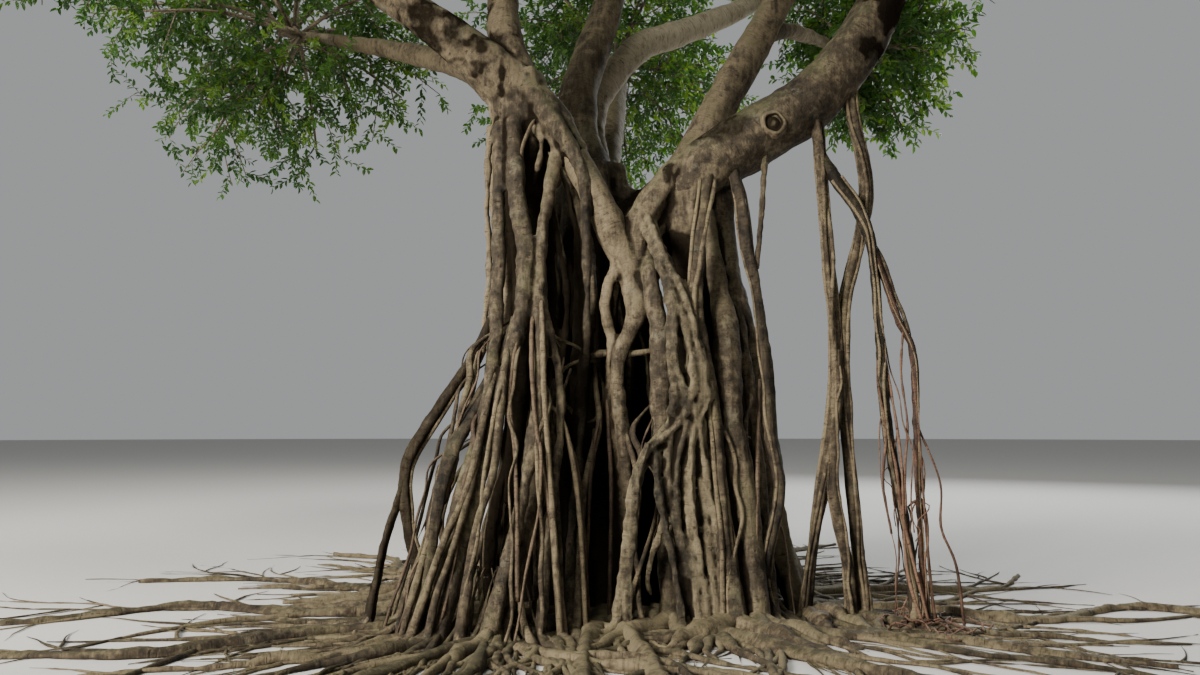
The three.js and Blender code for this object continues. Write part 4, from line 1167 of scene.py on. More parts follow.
GREY_ROOTS = [
    (0.014, [(-0.56, -0.38, 4.16), (-0.58, -0.46, 4.1), (-0.62, -0.48, 4.0),
             (-0.66, -0.47, 3.88), (-0.68, -0.4, 3.7)]),
    (0.022, [(-0.5, -0.6, 2.7), (-0.46, -0.86, 2.4), (-0.43, -1.02, 1.81),
             (-0.38, -1.14, 1.22), (-0.28, -1.4, 0.02)]),
    (0.026, [(-0.05, -0.3, 2.1), (-0.03, -0.5, 1.8), (-0.01, -0.58, 1.52),
             (-0.13, -0.8, 0.99), (-0.17, -1.22, 0)]),
    (0.017, [(-0.24, -0.5, 2.0), (-0.34, -0.75, 1.68), (-0.41, -0.82, 1.5),
             (-0.45, -0.9, 1.04), (-0.5, -1.1, 0)]),
    (0.033, [(-0.7, -0.7, 2.4), (-0.74, -1.0, 1.95), (-0.78, -1.25, 1.23),
             (-0.89, -1.4, 0.78), (-0.97, -1.67, 0)]),
    (0.030, [(-0.8, -0.75, 2.1), (-0.87, -1.08, 1.65), (-0.97, -1.28, 1.08),
             (-1.13, -1.38, 0.68), (-1.34, -1.55, 0)]),
    (0.028, [(-0.85, -0.9, 1.95), (-0.93, -1.24, 1.17), (-1.06, -1.43, 0.62),
             (-1.14, -1.52, 0.36), (-1.2, -1.64, 0)]),
    (0.030, [(0.2, -0.58, 1.5), (0.3, -0.72, 1.11), (0.27, -0.7, 0.71),
             (0.22, -0.68, 0.41), (0.19, -0.7, 0)]),
    (0.020, [(0.5, -0.95, 1.5), (0.46, -0.9, 1.02), (0.4, -0.88, 0.72), (0.26, -0.8, 0.28), (0.2, -0.8, 0)]),
    (0.020, [(1.86, -0.64, 3.5), (1.9, -0.7, 2.9), (1.87, -0.7, 2.45), (1.9, -0.66, 1.95)]),
    (0.018, [(2.2, -0.72, 3.05), (2.3, -0.74, 2.85), (2.37, -0.75, 2.6),
             (2.45, -0.78, 2.35), (2.49, -0.8, 2.0)]),
    (0.032, [(0.43, -0.5, 2.15), (0.25, -0.5, 2.13), (0.08, -0.44, 2.14),
             (-0.07, -0.42, 2.12), (-0.1, -0.3, 2.08)]),
    (0.012, [(0.0, -0.44, 2.12), (-0.12, -0.45, 2.14), (-0.21, -0.46, 2.2),
             (-0.37, -0.5, 2.27), (-0.5, -0.5, 2.4)]),
    (0.030, [(-0.04, -0.5, 1.5), (-0.06, -0.65, 1.26), (-0.13, -0.75, 0.94),
             (-0.16, -0.9, 0.58), (-0.15, -1.1, 0)]),
    (0.018, [(-0.46, -0.8, 1.7), (-0.34, -0.92, 1.65), (-0.25, -0.93, 1.45),
             (-0.16, -1.0, 0.9), (-0.1, -1.2, 0)]),
    (0.020, [(-0.4, -0.85, 1.7), (-0.35, -0.93, 1.38), (-0.33, -1.0, 0.98),
             (-0.29, -1.15, 0.45), (-0.28, -1.3, 0)]),
]
# A root that winds in a ring on the front of the trunk.
RING_ROOT = [
    (0.0, -0.05, 2.1), (-0.04, -0.36, 2.08), (-0.19, -0.37, 2.07), (-0.32, -0.37, 1.99), (-0.34, -0.37, 1.84),
    (-0.24, -0.39, 1.66), (-0.1, -0.41, 1.56), (0.01, -0.41, 1.66), (0.03, -0.39, 1.84), (-0.02, -0.2, 2.02),
]
RING_ROOT_RADIUS = 0.016

# Free roots painted dark all over as shade, and how dark.
SHADED_ROOTS = ("left_prop_root", "left_prop_fork")
ROOT_SHADE = 0.7


def dress_aerial_roots():
    """Each free root as a closed tube with fluted sides; the knotted root as one skin over its lobes."""
    for key, (name, route) in enumerate(AERIAL_ROOTS.items()):
        if name == "knotted_root":
            continue
        shell = Shell()
        tube(shell, route, 0.7 * seeded(70 + key) - 0.45, **FREE_TUBE)
        skin = FOX_ROOT if name == "hanging_root_far" else ROOT_BARK
        # Painted shade all over the left prop roots.
        dark = ROOT_SHADE if name in SHADED_ROOTS else 0.0
        bark_piece(name + "_bark", shell, skin, [name], "root_bark", hollow=lambda _, along: dark + 0 * along)
    shell = Shell()
    lobes = [AERIAL_ROOTS["knotted_root"], *KNOTTED_LOBES]
    for route in lobes:
        tube(shell, route, 0.0, **LOBE_TUBE)
    sources = [(route, 0.6 * key, seeded(95 + key)) for key, route in enumerate(lobes)]
    mesh = grown_together("knotted_root_bark", shell, sources, SKIN_KNOTTED, 1, KNOTTED_LUMPS)
    piece(mesh, [KNOTTED_BARK], ["knotted_root"])


# Where thin roots cling round each column: a start and a sweep that leave out the hollow between them.
LEFT_OUTSIDE = {"start": 0.9, "sweep": 4.5}
RIGHT_OUTSIDE = {"start": -2.3, "sweep": 4.5}


def draped_roots(rings, count, key, radius, start=0.0, sweep=2 * math.pi):
    """Thin roots that cling round a set of rings, a little outside them, and cross each other on their
    way down: each comes out from inside at a height of its own and swings round by a random walk. One in
    five ends in the air."""
    x, y, z, rx, ry = np.array(rings)[::-1].T
    routes = []
    for i in range(count):
        numbers = np.random.default_rng(key + i)
        top = numbers.uniform(1.2, z[-1])
        foot = numbers.uniform(0.3, 1.2) if numbers.random() < 0.2 else -0.03
        height = np.linspace(top, foot, 4 + int(3 * (top - foot)))
        angle = start + sweep * (i + numbers.uniform(-0.4, 0.4)) / count
        angle = angle + np.cumsum(numbers.normal(0, 0.07, len(height)))
        out = 0.05 + 0.03 * numbers.random(len(height)) + numbers.uniform(-0.03, 0.05)
        out[0] = -0.2
        across, over = np.interp(height, z, rx) + out, np.interp(height, z, ry) + out
        points = turned(np.interp(height, z, x), np.interp(height, z, y), across, over, angle, height)
        thick = radius * numbers.uniform(0.5, 1.3)
        radii = thick * numbers.uniform(0.8, 1.25, len(height))
        radii[0] = 0.3 * thick
        if foot > 0:
            radii[-1] = 0.3 * thick
        routes.append(Route(points, radii))
    return routes


# How many thin roots wind along each free root.
COMPANIONS = {
    "hanging_root_inner": 4, "hanging_root_outer": 4, "hanging_root_branch": 3, "hanging_root_middle": 2,
    "hanging_root_far": 2, "bough_root_front": 3, "bough_root_side": 2, "left_prop_root": 2,
    "front_prop_root_b": 2,
}


def companions(route, count, key):
    """Thin roots that wind along a thicker one: its route moved out by its radius, at an angle that turns
    by a random walk."""
    shares = np.linspace(0.06, 1, 16)
    centre, radius = route.at(shares), route.radius(shares)
    across, over = side_directions(route.heading(shares))
    made = []
    for i in range(count):
        numbers = np.random.default_rng(key + i)
        angle = 2 * math.pi * (i + 0.5) / count + np.cumsum(numbers.normal(0, 0.35, len(shares)))
        spoke = across * np.cos(angle)[:, None] + over * np.sin(angle)[:, None]
        out = radius * numbers.uniform(0.95, 1.2, len(shares))
        made.append(Route(centre + spoke * out[:, None], radius * numbers.uniform(0.18, 0.42)))
    return made


def slender(rows):
    """Routes from rows of a radius and points, each a little thinner than that at its start and thicker
    at its end."""
    return [Route(points, radius * np.linspace(0.8, 1.15, len(points))) for radius, points in rows]


def fox_roots():
    """Fox-red roots: those given, more that fall from the outermost roots by a random walk, and their
    tangle on the ground."""
    made = slender(FOX_ROOTS)
    for i in range(12):
        numbers = np.random.default_rng(3300 + i)
        parent = AERIAL_ROOTS["hanging_root_far" if i % 2 else "hanging_root_branch"]
        start = parent.at([numbers.uniform(0.35, 0.75)])[0]
        foot = numbers.uniform(0.25, 0.9) if i % 3 == 0 else 0.0
        height = np.linspace(start[2], foot, 9)
        drift = np.cumsum(numbers.normal(0, 0.035, (9, 2)), axis=0) * (1, 0.6)
        points = np.column_stack([start[:2] + drift - drift[0], height])
        made.append(Route(points, numbers.uniform(0.005, 0.009) * np.linspace(1, 0.7, 9)))
    for i in range(16):
        numbers = np.random.default_rng(3400 + i)
        turn = numbers.uniform(0, 2 * math.pi) + np.cumsum(numbers.normal(0.5, 0.6, 9))
        steps = numbers.uniform(0.04, 0.10) * np.stack([np.cos(turn), np.sin(turn)], axis=-1)
        flat = np.array([2.46, -0.93]) + numbers.normal(0, 0.06, 2) + np.cumsum(steps, axis=0)
        height = numbers.uniform(0.01, 0.09, 9)
        made.append(Route(np.column_stack([flat, height]), np.full(9, numbers.uniform(0.005, 0.009))))
    return made


def dress_thin_roots():
    """The thin roots, reddish, grey and fox-red, as slender closed tubes, with painted shade between the
    columns.
    """
    red = slender(RED_ROOTS)
    grey = slender(GREY_ROOTS)
    grey.append(Route(RING_ROOT, np.full(len(RING_ROOT), RING_ROOT_RADIUS)))
    red += draped_roots(LEFT_RINGS[2:], count=9, key=4100, radius=0.012, **LEFT_OUTSIDE)
    red += draped_roots(RIGHT_RINGS[3:], count=6, key=4200, radius=0.012, **RIGHT_OUTSIDE)
    red += draped_roots(TRUNK_RINGS, count=6, key=4300, radius=0.015, **BACK_HALF)
    grey += draped_roots(LEFT_RINGS[2:], count=12, key=4400, radius=0.022, **LEFT_OUTSIDE)
    grey += draped_roots(RIGHT_RINGS[3:], count=10, key=4500, radius=0.022, **RIGHT_OUTSIDE)
    grey += draped_roots(TRUNK_RINGS, count=12, key=4600, radius=0.026, **BACK_HALF)
    for key, (name, count) in enumerate(COMPANIONS.items()):
        grey += companions(AERIAL_ROOTS[name], count, 4700 + 10 * key)
    for name, routes, skin, nodes in (
        ("thin_red_roots", red, RED_ROOT, ["left_root_column"]),
        ("thin_grey_roots", grey, ROOT_BARK, ["right_root_column"]),
        ("thin_fox_roots", fox_roots(), FOX_ROOT, ["hanging_root_far"]),
    ):
        shell = Shell()
        for key, route in enumerate(routes):
            tube(shell, route, seeded(300 + key), **THIN_TUBE)
        # Painted shade on what hangs in the hollow between the columns.
        bark_piece(name, shell, skin, nodes, "root_bark", hollow=lambda points, _: 0.62 * in_recess(points))


# Roots over the ground.

SURFACE_ROOTS = 14
SURFACE_ROOT_REACH = 6.4
ROOT_START = 0.32
ROOT_THICK = 0.095
ROOT_THIN = 0.024
SIDE_ROOTS = 10
FOOT = (0.06, -0.26)


def surface_routes():
    """The main roots over the ground, by the rule of the solids."""
    routes = []
    share = np.linspace(0, 1, 6)
    k = np.arange(6)
    for i in range(SURFACE_ROOTS):
        bearing = 2 * math.pi * (i + 0.25 * swing(600 + i)) / SURFACE_ROOTS
        reach = SURFACE_ROOT_REACH * (0.62 + 0.38 * seeded(640 + i))
        angle = bearing + 0.1 * swing(680 + 9 * i + k) * np.minimum(1, 2 * share)
        distance = ROOT_START + (reach - ROOT_START) * share
        radius = (ROOT_THICK + (ROOT_THIN - ROOT_THICK) * share**0.7) * (0.9 + 0.25 * seeded(760 + 9 * i + k))
        routes.append(Route(turned(*FOOT, distance, distance, angle, 0.2 * radius), radius))
    return routes


def wander(start, heading, length, radius, key, joints=8, begin=()):
    """A root over the ground from a start, along a heading that swings from joint to joint, down to a
    thin tip. begin holds points, with a share of the radius each, that come before the start."""
    turn = heading + np.cumsum(0.4 * swing(key + np.arange(joints))) * np.linspace(1, 0.6, joints)
    step = length / joints
    flat = start[:2] + np.cumsum(step * np.stack([np.cos(turn), np.sin(turn)], axis=-1), axis=0)
    k = np.arange(joints + 1)
    radii = radius * np.linspace(1, 0.15, joints + 1) * (0.85 + 0.3 * seeded(key + 31 + k))
    rise = 0.3 + 0.7 * np.maximum(0, swing(key + 51 + k))
    points = np.column_stack([np.vstack([start[:2], flat]), rise * radii])
    if begin:
        points = np.vstack([[point for point, _ in begin], points])
        radii = np.concatenate([[radius * share for _, share in begin], radii])
    return Route(points, radii)


def dress_surface_roots():
    """The main roots over the ground, and side roots that leave them and fork again."""
    mains = surface_routes()
    shell = Shell()
    for key, route in enumerate(mains):
        tube(shell, route, seeded(130 + key), **SURFACE_TUBE)
    nodes = [f"surface_root_{i + 1}" for i in range(SURFACE_ROOTS)]
    bark_piece("surface_roots_bark", shell, ROOT_BARK, nodes, "root_bark")

    sides = Shell()
    for i, route in enumerate(mains):
        for j in range(SIDE_ROOTS):
            key = 2000 + 37 * i + 5 * j
            share = 0.10 + 0.078 * j + 0.05 * seeded(key)
            start = route.at([share])[0]
            ahead = route.heading([share])[0]
            turn = (0.5 if j % 2 else -0.5) * (0.5 + 0.8 * seeded(key + 1))
            bearing = math.atan2(ahead[1], ahead[0]) + turn
            radius = float(route.radius([share])[0]) * (0.3 + 0.3 * seeded(key + 2))
            length = (1.1 + 1.9 * seeded(key + 3)) * (1.15 - 0.6 * share)
            branch = wander(start, bearing, length, radius, key)
            tube(sides, branch, seeded(key + 4), **SIDE_TUBE)
            for fork in (0.35, 0.6):
                begin = branch.at([fork])[0]
                way = bearing + (0.7 if (j + int(10 * fork)) % 2 else -0.7)
                twig = wander(begin, way, 0.45 * length, 0.5 * radius, key + 9, 5)
                tube(sides, twig, seeded(key + 6), **SIDE_FORK_TUBE)
    bark_piece("surface_side_roots", sides, ROOT_BARK, ["surface_root_1"], "root_bark")


def level_way(bearing):
    """The level unit direction at a bearing."""
    return np.array([math.cos(bearing), math.sin(bearing), 0.0])


def toes(route, middle, key, count, reach):
    """Roots that go on over the ground from a root's foot: each leaves it above the ground, bends
    outwards from the middle of its column, and wanders down to a thin tip."""
    places = np.linspace(0, 1, 200)
    line = route.at(places)
    if line[-1, 2] > 0.02:
        return []
    low = places[np.argmax(line[:, 2] < 0.30)]
    lower = places[np.argmax(line[:, 2] < 0.12)]
    foot = route.at([route.above_ground()])[0]
    radius = float(route.radius([lower])[0])
    outward = math.atan2(foot[1] - middle[1], foot[0] - middle[0])
    made = []
    for i in range(count):
        fan = 0 if count == 1 else 1.1 * (i / (count - 1) - 0.5)
        bearing = outward + fan + 0.35 * swing(key + 3 * i)
        way = level_way(bearing)
        thick = radius * (0.85 - 0.15 * i)
        begin = [
            (route.at([low])[0] - 0.3 * radius * way, 0.7),
            (route.at([lower])[0] * (1, 1, 0) + 0.35 * radius * way + (0, 0, 0.10), 0.85),
            (foot + 1.7 * radius * way + (0, 0, 0.045), 0.9),
        ]
        length = reach * (0.5 + seeded(key + 5 * i))
        start = foot + (1.7 * radius + 0.12) * way
        made.append(wander(start, bearing, length, thick, key + 60 * i, 7, begin))
    return made


# How many thick roots run out from the columns' feet, and how many thin ones mat the ground between them.
RUNNERS = 44
MAT_ROOTS = 130
# Fans of thinner roots from each column's feet: the rings, the first and the last bearing, and how many.
# Each climbs down from points that lie (back, up) from its foot, with a share of its radius there.
FANS = [(LEFT_RINGS, -3.3, -0.7, 38), (RIGHT_RINGS, -2.3, 0.2, 22), (TRUNK_RINGS, 0.2, 3.0, 20)]
FAN_CLIMB = ((0.24, 0.50, 0.1), (0.16, 0.36, 0.5), (0.07, 0.16, 0.8))


def foot_of(i):
    """The ground ring of the left column, of the right one or of the trunk, in turn."""
    return (LEFT_RINGS, RIGHT_RINGS, TRUNK_RINGS)[i % 3][-1]


def on_ring(ring, out, bearing):
    """The place on the ground at a share of a ring's reach, at a bearing."""
    return ring[0] + out * ring[3] * math.cos(bearing), ring[1] + out * ring[4] * math.sin(bearing)


def dress_feet(trunk_roots, left_roots, right_roots):
    """What spreads from the feet of the columns' roots and of the free roots, and a mat of thin roots
    round them."""
    routes = []
    for i, route in enumerate(left_roots):
        in_front = i < 7
        routes += toes(route, LEFT_RINGS[-1], key=5000 + 17 * i, count=3 if in_front else 2, reach=0.9)
    for i, route in enumerate(right_roots):
        routes += toes(route, RIGHT_RINGS[-1], key=5400 + 17 * i, count=2, reach=0.85)
    for i, route in enumerate(trunk_roots):
        routes += toes(route, TRUNK_RINGS[-1], key=5800 + 17 * i, count=2, reach=1.1)
    for i, route in enumerate([*AERIAL_ROOTS.values(), *KNOTTED_LEGS]):
        middle = route.at([0.8])[0] + (0, 0.4, 0)
        routes += toes(route, middle, key=6200 + 17 * i, count=3, reach=0.5)
    shell = Shell()
    for key, route in enumerate(routes):
        tube(shell, route, seeded(400 + key), **TOE_TUBE)
    numbers = np.random.default_rng(91)
    for i in range(RUNNERS):
        bearing = numbers.uniform(-math.pi, 0.3) if i % 3 < 2 else numbers.uniform(-0.2, math.pi + 0.2)
        start = on_ring(foot_of(i), numbers.uniform(0.8, 1.25), bearing)
        way = bearing + numbers.normal(0, 0.45)
        reach = numbers.uniform(1.4, 3.4)
        runner = wander(start, way, reach, numbers.uniform(0.026, 0.056), 8600 + 20 * i, 12)
        tube(shell, runner, numbers.random(), **RUNNER_TUBE)
    for rings, first, last, count in FANS:
        for i in range(count):
            bearing = first + (last - first) * (i + numbers.uniform(-0.5, 0.5)) / count
            foot = np.array([*on_ring(rings[-1], numbers.uniform(0.62, 0.98), bearing), 0.0])
            bearing += numbers.normal(0, 0.3)
            way = level_way(bearing)
            thick = numbers.uniform(0.016, 0.036)
            begin = [(foot - back * way + (0, 0, up), share) for back, up, share in FAN_CLIMB]
            reach = numbers.uniform(0.9, 2.6)
            key = 9700 + 20 * i + int(100 * rings[-1][0])
            runner = wander(foot + 0.12 * way, bearing, reach, thick, key, 11, begin)
            tube(shell, runner, numbers.random(), **FAN_TUBE)
    for i in range(MAT_ROOTS):
        bearing = numbers.uniform(-math.pi, 0.4) if i % 3 < 2 else numbers.uniform(0, math.pi)
        start = on_ring(foot_of(i), numbers.uniform(0.85, 1.7), bearing)
        way = bearing + numbers.normal(0, 0.7)
        thin = wander(start, way, numbers.uniform(0.5, 1.6), numbers.uniform(0.007, 0.016), 7000 + 20 * i, 8)
        tube(shell, thin, numbers.random(), **MAT_TUBE)
    bark_piece("root_feet", shell, ROOT_BARK, ["left_root_column"], "root_bark")


# Marks on the big bough.

SCAR_PLACE = (1.42, -0.785, 4.0)
# How far from its middle each ring of the scar lies and how far it stands out.
SCAR_PROFILE = [
    (0.0, 0.004), (0.044, 0.002), (0.055, -0.012), (0.064, 0.004), (0.08, 0.022), (0.096, 0.006),
    (0.112, -0.05),
]
SCAR_SIDES = 28
SCAR_LIP = 0.07


def dress_scar():
    """The scar of a lost branch: a profile turned about an axis that points to the front, dark inside its
    lip."""
    sides = SCAR_SIDES
    angle = np.linspace(0, 2 * math.pi, sides, endpoint=False)
    radius, height = np.array(SCAR_PROFILE[1:]).T
    wobble = 1 + 0.06 * np.cos(2 * angle + 0.7) + 0.04 * np.cos(5 * angle)
    grid = np.stack(
        [
            radius[:, None] * wobble * np.cos(angle),
            np.repeat(-height[:, None], sides, axis=1),
            1.1 * radius[:, None] * wobble * np.sin(angle),
        ],
        axis=-1,
    ).reshape(-1, 3)
    points = np.vstack([grid, (0, -SCAR_PROFILE[0][1], 0)]) + SCAR_PLACE
    here, there = ring_pairs(len(radius), sides)
    wall = np.stack([here, here + sides, there + sides, there], axis=-1).reshape(-1, 4)
    ring = np.arange(sides)
    hub = len(points) - 1
    cap = np.stack([np.full(sides, hub), ring, (ring + 1) % sides, (ring + 1) % sides], axis=-1)
    inner = np.concatenate([np.repeat(np.where(radius < SCAR_LIP, 0.95, 0.4), sides), [0.6]])
    flat = np.zeros(len(points))
    attributes = {"along": flat, "tone": flat + 0.5, "hollow": inner}
    mesh = mesh_from("bough_scar", points, np.vstack([cap, wall]), attributes)
    piece(mesh, [BARK], ["right_bough"])


# Foliage.

MASSES = {
    "foliage_left": ("left_bough", (-5.95, -0.3, 7.4), (2.75, 2.7, 2.2)),
    "foliage_left_rear": ("left_rear_bough", (-4.6, 4.3, 7.0), (2.7, 2.7, 2.4)),
    "foliage_rear": ("rear_bough", (0.2, 6.0, 7.2), (2.7, 2.5, 2.3)),
    "foliage_right_rear": ("pale_bough", (3.6, 4.6, 8.45), (2.55, 2.6, 2.05)),
    "foliage_low_right": ("low_right_bough", (3.35, 2.75, 5.95), (1.3, 1.25, 1.15)),
    "foliage_right": ("right_bough", (5.95, -0.25, 7.9), (2.7, 2.7, 2.1)),
    "foliage_front_right": ("front_right_bough", (4.35, -4.55, 8.0), (2.7, 2.7, 2.05)),
    "foliage_front": ("front_bough", (-0.15, -6.0, 8.15), (2.7, 2.5, 2.0)),
    "foliage_front_left": ("front_left_bough", (-4.45, -4.45, 7.7), (2.7, 2.65, 2.1)),
    "foliage_top_left": ("left_stem", (-2.75, -0.9, 10.25), (2.65, 2.6, 1.95)),
    "foliage_top_right": ("second_right_bough", (3.05, -0.85, 10.35), (2.65, 2.6, 1.95)),
    "foliage_top_rear": ("dark_bough", (0.0, 3.0, 10.2), (2.65, 2.6, 1.95)),
    "foliage_top_front": ("top_front_bough", (0.1, -3.4, 10.1), (2.5, 2.35, 1.9)),
    "foliage_summit": ("top_bough", (0.1, 0.15, 11.5), (2.35, 2.3, 1.5)),
}


def inside_mass(name, points):
    """True where a point is inside the mass's ellipsoid and on its side of the plane halfway to each
    other mass."""
    _, middle, radii = MASSES[name]
    offset = points - middle
    inside = ((offset / radii) ** 2).sum(axis=-1) <= 1
    for other, (_, away, _) in MASSES.items():
        if other != name:
            between = np.subtract(away, middle)
            span = np.linalg.norm(between)
            inside &= offset @ between / span < span / 2 - HALF_PLANE_GAP
    return inside


def bearing_on_sphere(i, count, key):
    """An even spread over a sphere: each bearing is a golden angle on from the last, and a level lower."""
    height = 1 - 2 * (i + 0.5) / count
    angle = i * math.pi * (3 - math.sqrt(5)) + 2 * math.pi * seeded(key)
    level = math.sqrt(1 - height**2)
    return np.array([level * math.cos(angle), level * math.sin(angle), height])


def clear_of_wood(points, wood, clearance):
    """True where a point is further than the clearance from every limb's bark."""
    centres, radii = wood
    clear = np.ones(len(points), dtype=bool)
    for first in range(0, len(points), 4096):
        block = points[first : first + 4096]
        gap = np.linalg.norm(block[:, None, :] - centres[None], axis=2) - radii[None]
        clear[first : first + 4096] = gap.min(axis=1) > clearance
    return clear


def rods(lines, radii, sides):
    """Thin closed rods along many lines of points at once: each point's ring is its radius round the
    chord."""
    count, stations, _ = lines.shape
    heading = unit(lines[:, -1] - lines[:, 0])
    least = np.eye(3)[np.argmin(np.abs(heading), axis=1)]
    across = unit(np.cross(heading, least))
    over = np.cross(heading, across)
    spoke = spokes(across, over, np.linspace(0, 2 * math.pi, sides, endpoint=False))
    grid = lines[:, :, None, :] + spoke[:, None] * radii[:, :, None, None]
    first = (np.arange(count) * stations * sides)[:, None, None]
    row = (np.arange(stations - 1) * sides)[None, :, None]
    ring = np.arange(sides)[None, None, :]
    here, there = first + row + ring, first + row + (ring + 1) % sides
    wall = np.stack([here, there, there + sides, here + sides], axis=-1).reshape(-1, 4)
    caps = []
    last = first[:, 0, 0] + (stations - 1) * sides
    for k in range(1, sides - 1):
        near, far = first[:, 0, 0], last
        caps.append(np.stack([near, near + k + 1, near + k, near + k], axis=-1))
        caps.append(np.stack([far, far + k, far + k + 1, far + k + 1], axis=-1))
    far = np.linspace(0, 1, stations)[None, :, None] * np.ones((count, 1, sides))
    return grid.reshape(-1, 3), np.vstack([wall, *caps]), far.ravel()


LEAF_OUTLINE = np.array(
    [(0, 0, 0), (0.30, 0.23, 0.07), (0.68, 0.2, 0.05), (1, 0, -0.08), (0.68, -0.2, 0.05), (0.30, -0.23, 0.07)]
)
LEAF_HALVES = np.array([(0, 3, 2, 1), (0, 5, 4, 3)])


def leaf_blades(roots, heading, normal, length):
    """Six-cornered leaves folded along the midrib: root + length * (x * heading + y * side + z * normal)."""
    side = np.cross(normal, heading)
    shape = (
        LEAF_OUTLINE[None, :, 0, None] * heading[:, None]
        + LEAF_OUTLINE[None, :, 1, None] * side[:, None]
        + LEAF_OUTLINE[None, :, 2, None] * normal[:, None]
    )
    points = roots[:, None] + shape * length[:, None, None]
    quads = LEAF_HALVES[None] + (6 * np.arange(len(roots)))[:, None, None]
    return points.reshape(-1, 3), quads.reshape(-1, 4)


def offshoots(base, heading, count, spread, rng):
    """Headings that leave a parent heading to alternate sides, a golden angle on each time and flattened."""
    k = np.arange(count)
    turn = k[None, :] * math.pi * (3 - math.sqrt(5)) + rng.uniform(0, 2 * math.pi, (len(base), 1))
    up = np.array([0.0, 0.0, 1.0])
    side = unit(np.cross(heading, up) + 1e-6)
    top = np.cross(side, heading)
    out = side[:, None] * np.cos(turn)[:, :, None] + 0.75 * top[:, None] * np.sin(turn)[:, :, None]
    return unit(heading[:, None] * (1 - spread) + unit(out) * spread + rng.normal(0, 0.10, out.shape))


